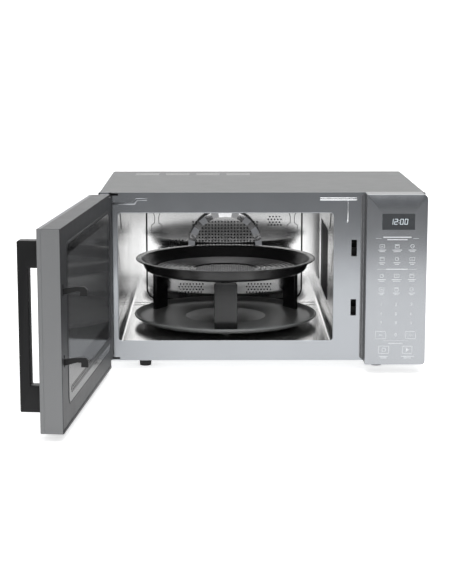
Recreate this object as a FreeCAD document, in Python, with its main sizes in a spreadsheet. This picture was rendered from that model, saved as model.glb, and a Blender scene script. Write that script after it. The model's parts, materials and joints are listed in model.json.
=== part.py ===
import FreeCAD, Part
import math
import os
from types import SimpleNamespace

import Sketcher

# Countertop combination microwave oven, door open, with a crisp pan standing on the turntable.
# Frame: X to the right as seen from the front, Y towards the back, Z up, millimetres.
# Origin: on the worktop, under the middle of the cabinet.

DOC = FreeCAD.newDocument("microwave_oven")
SHEET = DOC.addObject("Spreadsheet::Sheet", "sizes")

DRIVING_SIZES = [
    ("cabinet_width", 539.0, "outer width of the sheet-metal case"),
    ("cabinet_depth", 355.0, "front plate face to rear panel face"),
    ("cabinet_height", 283.0, "case height without its feet"),
    ("foot_height", 15.0, "worktop to the base plate"),
    ("foot_inset_side", 73.5, "foot centre from the side of the case"),
    ("foot_inset_front", 35.0, "front foot centre from the front plate"),
    ("foot_inset_back", 37.5, "back foot centre from the rear panel"),
    ("foot_tip_radius", 9.5, "foot radius at the worktop"),
    ("foot_top_radius", 11.0, "foot radius at the base plate"),
    ("sheet_wall", 1.0, "wrap, base and rear panel sheet"),
    ("front_wall", 1.2, "front plate sheet"),
    ("wrap_bend", 4.0, "outer bend radius of the wrap's top corners"),
    ("left_rail", 30.8, "case side to the cavity mouth"),
    ("floor_rail", 33.5, "base plate underside to the cavity floor"),
    ("cavity_width", 358.3, "cavity between its side walls"),
    ("cavity_height", 215.8, "cavity floor to ceiling"),
    ("cavity_depth", 342.0, "front plate face to the cavity back wall"),
    ("cavity_wall", 1.0, "cavity sheet"),
    ("cavity_corner", 7.0, "inner corner radius of the cavity tube"),
    ("cavity_flange", 10.0, "flange of the cavity behind the front plate"),
    ("well_radius", 128.0, "roller well pressed into the cavity floor"),
    ("well_depth", 6.0, "depth of the roller well"),
    ("control_width", 99.1, "control panel width"),
    ("control_depth", 34.0, "front plate to the control panel face"),
    ("control_wall", 2.5, "control housing moulding wall"),
    ("fascia_thick", 3.0, "control fascia"),
    ("fascia_corner", 8.0, "outer corner radius of the fascia and its housing"),
    ("display_lift", 240.7, "worktop to the middle of the display, less the case foot height"),
    ("display_width", 53.5, "display lens width"),
    ("display_height", 26.5, "display lens height"),
    ("lens_thick", 2.0, "display lens"),
    ("board_thick", 1.6, "circuit boards"),
    ("door_width", 438.3, "door across"),
    ("door_drop", 4.7, "door below the base plate"),
    ("door_thick", 32.8, "door front to back"),
    ("door_gap", 1.2, "closed door to the front plate"),
    ("door_open_angle", 95.2, "how far the door stands open at rest"),
    ("facade_thick", 6.0, "outer door panel"),
    ("facade_groove", 1.0, "shadow groove between the two door halves"),
    ("door_wall", 1.6, "inner door shell wall"),
    ("glass_thick", 4.0, "outer door glass"),
    ("hinge_inset", 5.5, "hinge axis from the door's hinge edge"),
    ("hinge_setback", 17.4, "hinge axis in front of the front plate"),
    ("hinge_pin_radius", 2.5, "hinge pins"),
    ("running_fit", 0.05, "radial clearance of pins and shafts"),
    ("hinge_plate", 2.0, "hinge bracket plate"),
    ("window_left", 45.0, "hinge axis to the near edge of the inner window"),
    ("window_width", 320.0, "inner window across"),
    ("window_bottom", 80.0, "worktop to the inner window"),
    ("window_height", 170.0, "inner window height"),
    ("choke_margin", 23.0, "choke channel around the inner window"),
    ("handle_from_edge", 20.8, "handle centre from the door's free edge"),
    ("handle_width", 20.0, "handle across the door"),
    ("handle_bar", 15.4, "handle grip depth"),
    ("handle_reach", 15.0, "finger gap between door and grip"),
    ("handle_bottom", 38.0, "worktop to the handle's lower end"),
    ("handle_length", 242.0, "handle end to end"),
    ("handle_post", 38.0, "height of each handle post"),
    ("hook_from_edge", 15.55, "latch hook middle from the door's free edge"),
    ("hook_thick", 4.5, "latch key thickness"),
    ("hook_reach", 34.0, "hooks beyond the inner face of the door"),
    ("lower_hook", 109.5, "worktop to the lower hook"),
    ("hook_pitch", 100.0, "lower hook to upper hook"),
    ("tray_radius", 161.5, "glass turntable"),
    ("tray_lift", 7.2, "cavity floor to the underside of the turntable"),
    ("tray_thick", 4.3, "glass thickness"),
    ("tray_rim_rise", 5.5, "turntable rim above its flat"),
    ("rest_gap", 0.2, "gap where one piece stands on another"),
    ("roller_circle", 101.0, "circle of the roller wheels"),
    ("roller_wheel_width", 8.0, "roller wheel width"),
    ("pan_rim_radius", 158.5, "crisp pan over its rim"),
    ("pan_base_radius", 141.0, "crisp pan base"),
    ("pan_wall", 1.6, "crisp pan metal"),
    ("pan_wall_height", 23.0, "crisp pan base to rim"),
    ("pan_rim_width", 4.5, "flat rim of the crisp pan"),
    ("leg_length", 80.8, "turntable to the underside of the crisp pan"),
    ("leg_width", 39.0, "leg across"),
    ("leg_thick", 7.0, "leg thickness"),
    ("leg_setback", 25.0, "tray rim to the middle of each leg"),
    ("hoop_radius", 69.0, "outer radius of the pan's lifting hoop"),
    ("hoop_band", 12.0, "width of the hoop band"),
    ("hoop_thick", 2.4, "thickness of the hoop band"),
    ("hoop_offset", 143.0, "pan centre to the hoop"),
    ("hoop_drop", 3.4, "middle of the hoop's circle below the pan's rim"),
    ("convection_radius", 105.0, "convection housing"),
    ("convection_depth", 33.0, "convection housing behind the cavity"),
    ("bulge_depth", 54.0, "rear cover behind the rear panel"),
    ("cooling_fan_size", 120.0, "square cooling fan frame"),
]


class Size:
    """A length that carries its sheet formula and its present value."""

    def __init__(self, formula, value):
        self.formula = formula
        self.value = value

    def __add__(self, other):
        return combined(self, "+", other)

    def __radd__(self, other):
        return combined(other, "+", self)

    def __sub__(self, other):
        return combined(self, "-", other)

    def __rsub__(self, other):
        return combined(other, "-", self)

    def __mul__(self, other):
        return combined(self, "*", other)

    def __rmul__(self, other):
        return combined(other, "*", self)

    def __truediv__(self, other):
        return combined(self, "/", other)

    def __neg__(self):
        return combined(0.0, "-", self)


def as_size(number):
    """A plain number as a Size, and a Size as it is."""
    if isinstance(number, Size):
        return number
    return Size(f"({float(number):.6f})", float(number))


def combined(left, sign, right):
    """The Size of one arithmetic step."""
    left, right = as_size(left), as_size(right)
    steps = {
        "+": lambda a, b: a + b,
        "-": lambda a, b: a - b,
        "*": lambda a, b: a * b,
        "/": lambda a, b: a / b,
    }
    return Size(f"({left.formula} {sign} {right.formula})", steps[sign](left.value, right.value))


def fill_sheet():
    """Writes the driving sizes into the sheet and returns them as named Sizes."""
    named = SimpleNamespace()
    for row, (alias, number, meaning) in enumerate(DRIVING_SIZES, start=1):
        SHEET.set(f"A{row}", alias.replace("_", " "))
        SHEET.set(f"B{row}", str(number))
        SHEET.set(f"C{row}", meaning)
        SHEET.setAlias(f"B{row}", alias)
        setattr(named, alias, Size(f"sizes.{alias}", number))
    DOC.recompute()
    return named


S = fill_sheet()

# Planes and centres that many pieces share, worked out from the driving sizes.
RIGHT = S.cabinet_width / 2
LEFT = -RIGHT
FRONT = -S.cabinet_depth / 2
BACK = S.cabinet_depth / 2
BOTTOM = S.foot_height
TOP = BOTTOM + S.cabinet_height
PLATE_BACK = FRONT + S.front_wall
REAR_INNER = BACK - S.sheet_wall
BASE_TOP = BOTTOM + S.sheet_wall
CAVITY_LEFT = LEFT + S.left_rail
CAVITY_RIGHT = CAVITY_LEFT + S.cavity_width
CAVITY_FLOOR = BOTTOM + S.floor_rail
CAVITY_CEILING = CAVITY_FLOOR + S.cavity_height
CAVITY_BACK = FRONT + S.cavity_depth
BACK_WALL_REAR = CAVITY_BACK + S.cavity_wall
CAVITY_SIDE = CAVITY_RIGHT + S.cavity_wall
TRAY_X = (CAVITY_LEFT + CAVITY_RIGHT) / 2
TRAY_Y = FRONT + S.cavity_depth / 2
WELL_FLOOR = CAVITY_FLOOR - S.well_depth
WELL_UNDER = WELL_FLOOR - S.cavity_wall
TRAY_UNDER = CAVITY_FLOOR + S.tray_lift
TRAY_TOP = TRAY_UNDER + S.tray_thick
PAN_FOOT = TRAY_TOP + S.rest_gap
PAN_UNDER = PAN_FOOT + S.leg_length
PAN_RIM = PAN_UNDER + S.pan_wall_height
PANEL_LEFT = RIGHT - S.control_width
PANEL_FACE = FRONT - S.control_depth
PANEL_BACK = PANEL_FACE + S.fascia_thick
BOARD_FRONT = PANEL_BACK + 8.5
HINGE_X = LEFT + S.hinge_inset
HINGE_Y = FRONT - S.hinge_setback
FAN_Z = CAVITY_FLOOR + S.cavity_height / 2

# The closed door in its own frame: hinge axis at x = y = 0, y towards the cavity, z from the worktop.
DOOR_LEFT = -S.hinge_inset
DOOR_RIGHT = DOOR_LEFT + S.door_width
DOOR_BOTTOM = BOTTOM - S.door_drop
DOOR_TOP = TOP
DOOR_INNER = S.hinge_setback - S.door_gap
DOOR_OUTER = DOOR_INNER - S.door_thick
FACADE_BACK = DOOR_OUTER + S.facade_thick
BODY_FRONT = FACADE_BACK + S.facade_groove
SHEET_IN = DOOR_INNER - S.door_wall
WINDOW_RIGHT = S.window_left + S.window_width
WINDOW_TOP = S.window_bottom + S.window_height
CHOKE_LEFT = S.window_left - S.choke_margin
CHOKE_RIGHT = WINDOW_RIGHT + S.choke_margin
CHOKE_BOTTOM = S.window_bottom - S.choke_margin
CHOKE_TOP = WINDOW_TOP + S.choke_margin
HANDLE_X = DOOR_RIGHT - S.handle_from_edge
HANDLE_TOP = S.handle_bottom + S.handle_length
GRIP_BACK = DOOR_OUTER - S.handle_reach
GRIP_FRONT = GRIP_BACK - S.handle_bar
HOOK_X = DOOR_RIGHT - S.hook_from_edge
UPPER_HOOK = S.lower_hook + S.hook_pitch
HOOK_TIP = DOOR_INNER + S.hook_reach

# Fixed small details, in millimetres.
HINGE_TONGUE_WIDTH = 14.0
HINGE_NOTCH = 5.4
LOWER_NOTCH = 12.2
HINGE_SLOT_WIDTH = 30.0
HOOK_TRAVEL = 2.0
HOOK_DIP = 6.0
HOOK_RISE = 7.0
WHEEL_RADIUS = 6.4
AXLE_RADIUS = 2.0
SHAFT_RADIUS = 3.0
FAN_SHAFT_RADIUS = 1.5
GRILL_HALF = 75.0
PLUNGER_RADIUS = 1.5
HOLE_RADIUS = 1.6
HOLE_PITCH = 6.0
GRILL_BEND = 215.0

NODES = []


def node(shape_object, label):
    """Registers a finished sub-part under the name that its file gets."""
    shape_object.Label = label
    NODES.append(shape_object)
    return shape_object


def bind(thing, prop, size):
    """Drives one property of an object from the sheet."""
    thing.setExpression(prop, as_size(size).formula)


def place(thing, x, y, z):
    """Puts an object at a driven position."""
    bind(thing, "Placement.Base.x", x)
    bind(thing, "Placement.Base.y", y)
    bind(thing, "Placement.Base.z", z)
    return thing


def block(name, x, y, z):
    """A box between two driven planes along each axis."""
    box = DOC.addObject("Part::Box", name)
    bind(box, "Length", x[1] - as_size(x[0]))
    bind(box, "Width", y[1] - as_size(y[0]))
    bind(box, "Height", z[1] - as_size(z[0]))
    return place(box, x[0], y[0], z[0])


TURNS = {
    "x": FreeCAD.Rotation(FreeCAD.Vector(0, 1, 0), 90),
    "y": FreeCAD.Rotation(FreeCAD.Vector(1, 0, 0), -90),
    "z": FreeCAD.Rotation(),
}


def rod(name, along, radius, spot, span):
    """A cylinder along x, y or z: spot is its centre across that axis, span its two ends."""
    cylinder = DOC.addObject("Part::Cylinder", name)
    cylinder.Placement = FreeCAD.Placement(FreeCAD.Vector(), TURNS[along])
    bind(cylinder, "Radius", radius)
    bind(cylinder, "Height", span[1] - as_size(span[0]))
    u, v = spot
    base = {"x": (span[0], u, v), "y": (u, span[0], v), "z": (u, v, span[0])}[along]
    return place(cylinder, *base)


def cone(name, radii, spot, span):
    """An upright cone, from its lower radius to its upper one."""
    frustum = DOC.addObject("Part::Cone", name)
    bind(frustum, "Radius1", radii[0])
    bind(frustum, "Radius2", radii[1])
    bind(frustum, "Height", span[1] - as_size(span[0]))
    return place(frustum, spot[0], spot[1], span[0])


def torus(name, along, ring, tube, centre, sweep=360.0):
    """A ring about x, y or z, or part of one."""
    doughnut = DOC.addObject("Part::Torus", name)
    doughnut.Placement = FreeCAD.Placement(FreeCAD.Vector(), TURNS[along])
    doughnut.Angle3 = sweep
    bind(doughnut, "Radius1", ring)
    bind(doughnut, "Radius2", tube)
    return place(doughnut, *centre)


def fuse(name, pieces):
    """One solid from several that touch."""
    joined = DOC.addObject("Part::MultiFuse", name)
    joined.Refine = True
    joined.Shapes = pieces
    return joined


def group(name, pieces):
    """Separate solids kept together as one sub-part or one cutting tool."""
    compound = DOC.addObject("Part::Compound", name)
    compound.Links = pieces
    return compound


def cut(name, base, tools):
    """A base with its tools taken away."""
    taken = DOC.addObject("Part::Cut", name)
    taken.Base = base
    taken.Tool = tools[0] if len(tools) == 1 else fuse(name + "_tools", tools)
    return taken


def holes(name, radius, along, span, spots):
    """A field of equal round holes: their axes run along x or y through the given points."""
    pins = []
    for u, v in spots:
        start = {"x": (span[0], u, v), "y": (u, span[0], v)}[along]
        way = {"x": FreeCAD.Vector(1, 0, 0), "y": FreeCAD.Vector(0, 1, 0)}[along]
        pins.append(Part.makeCylinder(radius, span[1] - span[0], FreeCAD.Vector(*start), way))
    field = DOC.addObject("Part::Feature", name)
    field.Shape = Part.makeCompound(pins)
    return field


def origin_plane(body, role):
    """A body's own origin plane or axis."""
    return next(part for part in body.Origin.OriginFeatures if part.Role == role)


def sketch_on(body, name, role, offset=0.0):
    """A sketch on one of the body's origin planes, moved along that plane's normal."""
    sketch = body.newObject("Sketcher::SketchObject", name)
    sketch.AttachmentSupport = (origin_plane(body, role), [""])
    sketch.MapMode = "FlatFace"
    bind(sketch, "AttachmentOffset.Base.z", offset)
    return sketch


def drive(sketch, kind, geometry, spot, size):
    """A dimension from the sketch origin to a point, driven from the sheet."""
    size = as_size(size)
    index = sketch.addConstraint(Sketcher.Constraint(kind, -1, 1, geometry, spot, size.value))
    sketch.setExpression(f"Constraints[{index}]", size.formula)


def outline(sketch, points):
    """A closed straight-edged outline whose corners are all driven from the sheet."""
    points = [(as_size(u), as_size(v)) for u, v in points]
    first = sketch.GeometryCount
    count = len(points)
    spots = [FreeCAD.Vector(u.value, v.value, 0) for u, v in points]
    for i in range(count):
        sketch.addGeometry(Part.LineSegment(spots[i], spots[(i + 1) % count]), False)
    for i in range(count):
        follower = first + (i + 1) % count
        sketch.addConstraint(Sketcher.Constraint("Coincident", first + i, 2, follower, 1))
    for i, (u, v) in enumerate(points):
        drive(sketch, "DistanceX", first + i, 1, u)
        drive(sketch, "DistanceY", first + i, 1, v)


def ring(sketch, centre, radius):
    """A circle driven from the sheet."""
    u, v = as_size(centre[0]), as_size(centre[1])
    radius = as_size(radius)
    circle = Part.Circle(FreeCAD.Vector(u.value, v.value, 0), FreeCAD.Vector(0, 0, 1), radius.value)
    geometry = sketch.addGeometry(circle, False)
    drive(sketch, "DistanceX", geometry, 3, u)
    drive(sketch, "DistanceY", geometry, 3, v)
    index = sketch.addConstraint(Sketcher.Constraint("Radius", geometry, radius.value))
    sketch.setExpression(f"Constraints[{index}]", radius.formula)


def padded(name, role, outlines, offset, length):
    """A body padded from straight-edged outlines along the plane's own normal.

    XY_Plane pads up, YZ_Plane pads to the right and XZ_Plane pads towards the front.
    """
    body = DOC.addObject("PartDesign::Body", name)
    sketch = sketch_on(body, name + "_sketch", role, offset)
    for points in outlines:
        outline(sketch, points)
    pad = body.newObject("PartDesign::Pad", name + "_pad")
    pad.Profile = sketch
    bind(pad, "Length", length)
    return body


def rectangle(u, v):
    """The four corners of a rectangle."""
    return [(u[0], v[0]), (u[1], v[0]), (u[1], v[1]), (u[0], v[1])]


def rounded(body, radius, chosen):
    """Rounds the edges of a body's last feature that the test picks."""
    DOC.recompute()
    base = body.Tip
    names = [f"Edge{i + 1}" for i, edge in enumerate(base.Shape.Edges) if chosen(edge)]
    fillet = body.newObject("PartDesign::Fillet", f"{body.Name}_fillet_{len(body.Group)}")
    fillet.Base = (base, names)
    bind(fillet, "Radius", radius)
    return body


def runs_along(axis, near=None):
    """A test for straight edges along one axis, near a side if one is given."""
    way = {"x": FreeCAD.Vector(1, 0, 0), "y": FreeCAD.Vector(0, 1, 0), "z": FreeCAD.Vector(0, 0, 1)}[axis]

    def test(edge):
        straight = edge.Curve.TypeId == "Part::GeomLine"
        if not straight or abs(edge.tangentAt(edge.FirstParameter).dot(way)) < 0.999:
            return False
        middle = edge.valueAt((edge.FirstParameter + edge.LastParameter) / 2)
        return near is None or near(middle)

    return test


def turned(name, points):
    """A body turned about the upright axis from its half section."""
    body = DOC.addObject("PartDesign::Body", name)
    sketch = sketch_on(body, name + "_sketch", "XZ_Plane")
    outline(sketch, points)
    revolution = body.newObject("PartDesign::Revolution", name + "_turn")
    revolution.Profile = sketch
    revolution.ReferenceAxis = (sketch, ["V_Axis"])
    revolution.Angle = 360.0
    return body


def hung(door_part):
    """Hangs a piece drawn on the closed door at the hinge, turned to where the door rests."""
    place(door_part, HINGE_X, HINGE_Y, 0.0)
    bind(door_part, "Placement.Rotation.Angle", -S.door_open_angle)
    return door_part


def grid(u, v, pitch):
    """Points on a square grid between two limits each way, in plain millimetres."""
    across = int((u[1] - u[0]) / pitch + 1e-6) + 1
    upward = int((v[1] - v[0]) / pitch + 1e-6) + 1
    return [(u[0] + i * pitch, v[0] + j * pitch) for j in range(upward) for i in range(across)]


def staggered(u, v, pitch):
    """Points in rows set half a pitch aside from each other, between two limits each way."""
    rise = pitch * math.sqrt(3.0) / 2.0
    points = []
    for row in range(int((v[1] - v[0]) / rise + 1e-6) + 1):
        shift = (row % 2) * pitch / 2.0
        points += grid((u[0] + shift, u[1]), (v[0] + row * rise, v[0] + row * rise), pitch)
    return points


# ---------------------------------------------------------------- case


def outer_wrap():
    """The bent cover: two sides and a top in one sheet, with air slots."""
    inner = (LEFT + S.sheet_wall, RIGHT - S.sheet_wall)
    section = [
        (LEFT, BOTTOM), (inner[0], BOTTOM), (inner[0], TOP - S.sheet_wall), (inner[1], TOP - S.sheet_wall),
        (inner[1], BOTTOM), (RIGHT, BOTTOM), (RIGHT, TOP), (LEFT, TOP),
    ]
    wrap = padded("wrap", "XZ_Plane", [section], -BACK, BACK - PLATE_BACK)
    inner_top = TOP.value - S.sheet_wall.value
    rounded(wrap, S.wrap_bend - S.sheet_wall, runs_along("y", lambda p: abs(p.z - inner_top) < 0.01))
    rounded(wrap, S.wrap_bend, runs_along("y", lambda p: p.z > TOP.value - 0.01))
    slots = []
    for column in range(4):
        start = LEFT + 45.2 + 55.6 * column
        for row in range(5):
            near = BACK - 69.0 + 8.0 * row
            slots.append(block("top_slot", (start, start + 44.0), (near, near + 3.0), (TOP - 2.0, TOP + 1.0)))
    for row in range(9):
        low = BOTTOM + 40.0 + 9.0 * row
        slots.append(block("side_slot", (RIGHT - 2.0, RIGHT + 1.0), (BACK - 110.0, BACK - 60.0),
                           (low, low + 3.0)))
    node(cut("wrap_slotted", wrap, slots), "outer_wrap")


def base_plate():
    """The bottom sheet, with air slots under the transformer."""
    plate = block("base_sheet", (LEFT + S.sheet_wall, RIGHT - S.sheet_wall), (PLATE_BACK, BACK),
                  (BOTTOM, BASE_TOP))
    slots = []
    for row in range(8):
        near = FRONT + 60.0 + 9.0 * row
        slots.append(block("base_slot", (RIGHT - 60.0, RIGHT - 15.0), (near, near + 3.5),
                           (BOTTOM - 1.0, BASE_TOP + 1.0)))
    node(cut("base_slotted", plate, slots), "base_plate")


def rear_panel():
    """The back sheet, open behind the convection housing, the cooling fan and the cord gland."""
    sheet = padded("rear_sheet", "XZ_Plane",
                   [rectangle((LEFT + S.sheet_wall, RIGHT - S.sheet_wall), (BASE_TOP, TOP - S.sheet_wall))],
                   -BACK, S.sheet_wall)
    rounded(sheet, S.wrap_bend - S.sheet_wall, runs_along("y", lambda p: p.z > TOP.value - 2.0))
    through = (REAR_INNER - 1.0, BACK + 1.0)
    tools = [rod("rear_round", "y", S.convection_radius + 11.0, (TRAY_X, FAN_Z), through)]
    fan_x, fan_z = cooling_fan_centre()
    for row in range(9):
        low = fan_z - 43.5 + 10.0 * row
        half = math.sqrt(52.0**2 - (low.value + 2.0 - fan_z.value) ** 2)
        tools.append(block("fan_slot", (fan_x - half, fan_x + half), through, (low, low + 4.0)))
    tools.append(rod("gland_hole", "y", 7.0, gland_centre(), through))
    for x, z in cover_screw_spots():
        tools.append(rod("screw_hole", "y", 1.7 + S.running_fit, (x, z), through))
    node(cut("rear_cut", sheet, tools), "rear_panel")


def cover_screw_spots():
    """Where the rear screws stand."""
    return [(x, z) for x in (LEFT + 12.0, RIGHT - 12.0) for z in (BOTTOM + 20.0, TOP - 20.0)]


def cover_screws():
    """Four pan-head screws in the rear panel, as one sub-part of separate solids."""
    screws = []
    for x, z in cover_screw_spots():
        head = rod("screw_head", "y", 3.6, (x, z), (BACK, BACK + 1.8))
        shank = rod("screw_shank", "y", 1.7, (x, z), (REAR_INNER - 3.0, BACK))
        screws.append(fuse("cover_screw", [head, shank]))
    node(group("cover_screw_set", screws), "cover_screws")


def front_plate():
    """The front frame: cavity mouth, latch slots, hinge slots and the opening behind the controls."""
    sheet = block("front_sheet", (LEFT, RIGHT), (FRONT, PLATE_BACK), (BOTTOM, TOP))
    through = (FRONT - 1.0, PLATE_BACK + 1.0)
    mouth = padded("mouth", "XZ_Plane", [rectangle((CAVITY_LEFT, CAVITY_RIGHT),
                                                   (CAVITY_FLOOR, CAVITY_CEILING))],
                   -through[1], S.front_wall + 2.0)
    rounded(mouth, S.cavity_corner, runs_along("y"))
    tools = [mouth]
    middle = HINGE_X + HOOK_X
    for height in (S.lower_hook, UPPER_HOOK):
        slot = (middle - 4.85, middle + 4.35)
        tools.append(block("latch_slot", slot, through, (height - 18.0, height + 9.5)))
    left = HINGE_X - 3.0
    for low, high in hinge_slot_heights():
        tools.append(block("hinge_slot", (left, left + HINGE_SLOT_WIDTH), through, (low, high)))
    tools.append(block("control_opening", (PANEL_LEFT + 12.0, RIGHT - 12.0), through,
                       (BOTTOM + 45.0, TOP - 68.0)))
    node(cut("front_cut", sheet, tools), "front_plate")


def hinge_slot_heights():
    """The lower and upper slots that the hinge tongues pass through."""
    return [(BOTTOM + 2.4, BOTTOM + 5.6), (TOP - 5.4, TOP - 1.8)]


def cavity_shell():
    """The cooking cavity: floor, sides and ceiling as one tube with a flange and a roller well."""
    wall = S.cavity_wall
    span = CAVITY_BACK - PLATE_BACK
    outside = padded("tube_outside", "XZ_Plane",
                     [rectangle((CAVITY_LEFT - wall, CAVITY_SIDE),
                                (CAVITY_FLOOR - wall, CAVITY_CEILING + wall))],
                     -CAVITY_BACK, span)
    rounded(outside, S.cavity_corner + wall, runs_along("y"))
    flange = block("tube_flange",
                   (CAVITY_LEFT - S.cavity_flange, CAVITY_RIGHT + S.cavity_flange),
                   (PLATE_BACK, PLATE_BACK + wall),
                   (CAVITY_FLOOR - S.cavity_flange, CAVITY_CEILING + S.cavity_flange))
    dish = rod("well_outside", "z", S.well_radius + wall, (TRAY_X, TRAY_Y), (WELL_UNDER, CAVITY_FLOOR))
    inside = padded("tube_inside", "XZ_Plane",
                    [rectangle((CAVITY_LEFT, CAVITY_RIGHT), (CAVITY_FLOOR, CAVITY_CEILING))],
                    -(CAVITY_BACK + 1.0), span + 2.0)
    rounded(inside, S.cavity_corner, runs_along("y"))
    well = rod("well_inside", "z", S.well_radius, (TRAY_X, TRAY_Y), (WELL_FLOOR, CAVITY_FLOOR + 1.0))
    shaft_hole = rod("shaft_hole", "z", SHAFT_RADIUS + 1.0, (TRAY_X, TRAY_Y),
                     (WELL_UNDER - 1.0, CAVITY_FLOOR))
    port_y, port_z = waveguide_port()
    port = block("wave_port", (CAVITY_RIGHT - 1.0, CAVITY_SIDE + 1.0), port_y, port_z)
    lamp = holes("lamp_vents", 1.5, "x", (CAVITY_RIGHT.value - 2.0, CAVITY_SIDE.value + 2.0),
                 grid((FRONT.value + 52.0, FRONT.value + 112.0),
                      (CAVITY_FLOOR.value + 65.0, CAVITY_FLOOR.value + 160.0), 6.0))
    steam = holes("steam_vents", 1.5, "x", (CAVITY_LEFT.value - 2.0, CAVITY_LEFT.value + 1.0),
                  grid((CAVITY_BACK.value - 40.0, CAVITY_BACK.value - 22.0),
                       (CAVITY_FLOOR.value + 70.0, CAVITY_FLOOR.value + 160.0), 6.0))
    walls = cut("tube_walls", fuse("tube_solid", [outside, flange, dish]), [inside, well, shaft_hole, port])
    vented = cut("tube_vented", walls, [group("tube_vents", [lamp, steam])])
    node(vented, "cavity_shell")


def back_wall_holes():
    """The perforated patches of the cavity back wall, in millimetres from the tray axis and the floor."""
    cx, floor = TRAY_X.value, CAVITY_FLOOR.value
    spots = grid((cx - 60.0, cx + 60.0), (floor + 66.0, floor + 156.0), HOLE_PITCH)
    spots += grid((cx - 104.0, cx - 80.0), (floor + 109.0, floor + 121.0), HOLE_PITCH)
    for across, upward in (((-87.0, -41.0), (22.0, 38.0)), ((41.0, 87.0), (22.0, 38.0)), ((81.0, 105.0), (150.0, 166.0))):
        spots += staggered((cx + across[0], cx + across[1]), (floor + upward[0], floor + upward[1]), HOLE_PITCH)
    return sorted(set((round(x, 3), round(z, 3)) for x, z in spots))


def cavity_back_wall():
    """The back wall, perforated in front of the convection fan, with the grill element's holes."""
    wall = block("back_sheet", (CAVITY_LEFT - S.cavity_wall, CAVITY_SIDE), (CAVITY_BACK, BACK_WALL_REAR),
                 (CAVITY_FLOOR - S.cavity_wall, CAVITY_CEILING + S.cavity_wall))
    field = holes("back_vents", HOLE_RADIUS, "y", (CAVITY_BACK.value - 2.0, BACK_WALL_REAR.value + 2.0),
                  back_wall_holes())
    leads = [rod("element_hole", "y", 4.5, spot,
                 (CAVITY_BACK - 1.0, BACK_WALL_REAR + 1.0)) for spot in grill_lead_spots()]
    node(cut("back_vented", cut("back_leads", wall, leads), [field]), "cavity_back_wall")


def feet():
    """Four tapered rubber feet, as one sub-part of separate solids."""
    pads = []
    for x in (LEFT + S.foot_inset_side, RIGHT - S.foot_inset_side):
        for y in (FRONT + S.foot_inset_front, BACK - S.foot_inset_back):
            pads.append(cone("foot", (S.foot_tip_radius, S.foot_top_radius), (x, y), (0.0, BOTTOM)))
    node(group("foot_set", pads), "feet")


# ---------------------------------------------------------------- inside the cavity


def waveguide_port():
    """The opening in the right cavity wall that the microwaves enter through."""
    return (FRONT + 187.5, FRONT + 277.5), (CAVITY_FLOOR + 71.5, CAVITY_FLOOR + 131.5)


def waveguide_cover():
    """The mica sheet over the port, on the inside of the right cavity wall."""
    node(fuse("mica", [
        block("mica_sheet", (CAVITY_RIGHT - 0.8, CAVITY_RIGHT), (FRONT + 150.0, FRONT + 310.0),
              (CAVITY_FLOOR + 41.5, CAVITY_FLOOR + 166.5)),
        rod("mica_rivet", "x", 3.0, (FRONT + 160.0, CAVITY_FLOOR + 101.5),
            (CAVITY_RIGHT - 1.8, CAVITY_RIGHT - 0.8)),
    ]), "waveguide_cover")


def grill_lead_spots():
    """Where the two ends of the grill element pass the back wall."""
    return [(TRAY_X + side * GRILL_HALF, CAVITY_CEILING - 12.3) for side in (-1.0, 1.0)]


def grill_heater():
    """The tubular grill element under the ceiling, on two straps."""
    pieces = []
    for x, z in grill_lead_spots():
        pieces.append(rod("grill_leg", "y", 3.2, (x, z), (FRONT + GRILL_BEND, CAVITY_BACK + 10.0)))
        for depth in (225.0, 300.0):
            pieces.append(block("grill_strap", (x - 5.0, x + 5.0), (FRONT + depth, FRONT + depth + 8.0),
                                (z - 4.6, CAVITY_CEILING)))
    bend = torus("grill_bend", "z", GRILL_HALF, 3.2, (TRAY_X, FRONT + GRILL_BEND, CAVITY_CEILING - 12.3), 180.0)
    bend.Placement.Rotation = FreeCAD.Rotation(FreeCAD.Vector(0, 0, 1), 180)
    node(fuse("grill_element", pieces + [bend]), "grill_heater")


def turntable_motor():
    """The synchronous motor under the roller well, with its shaft through the floor."""
    spot = (TRAY_X, TRAY_Y)
    node(fuse("tray_motor", [
        rod("motor_can", "z", 24.5, spot, (WELL_UNDER - 18.0, WELL_UNDER)),
        block("motor_ears", (TRAY_X - 32.0, TRAY_X + 32.0), (TRAY_Y - 7.0, TRAY_Y + 7.0),
              (WELL_UNDER - 2.0, WELL_UNDER)),
        rod("motor_shaft", "z", SHAFT_RADIUS, spot, (WELL_UNDER, WELL_FLOOR + 8.0)),
    ]), "turntable_motor")


def drive_coupler():
    """The three-armed coupler on the motor shaft that turns the tray by its lugs."""
    body = turned("coupler", [
        (SHAFT_RADIUS + S.running_fit, WELL_FLOOR + 1.0), (9.0, WELL_FLOOR + 1.0), (9.0, TRAY_UNDER - 1.2),
        (0.0, TRAY_UNDER - 1.2), (0.0, WELL_FLOOR + 8.5), (SHAFT_RADIUS + S.running_fit, WELL_FLOOR + 8.5),
    ])
    arm_sketch = sketch_on(body, "coupler_arm_sketch", "XY_Plane", WELL_FLOOR + 5.0)
    outline(arm_sketch, rectangle((8.0, 22.0), (-3.5, 3.5)))
    arm = body.newObject("PartDesign::Pad", "coupler_arm")
    arm.Profile = arm_sketch
    bind(arm, "Length", TRAY_UNDER - 1.2 - (WELL_FLOOR + 5.0))
    repeat_around(body, arm, "coupler_arms")
    place(body, TRAY_X, TRAY_Y, 0.0)
    node(body, "drive_coupler")


def repeat_around(body, feature, name, count=3):
    """Repeats a feature about the body's upright axis."""
    pattern = body.newObject("PartDesign::PolarPattern", name)
    pattern.Originals = [feature]
    pattern.Axis = (origin_plane(body, "Z_Axis"), [""])
    pattern.Angle = 360.0
    pattern.Occurrences = count
    body.Tip = pattern


def wheel_height():
    """The roller wheels' axle height."""
    return WELL_FLOOR + S.rest_gap + WHEEL_RADIUS


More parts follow.
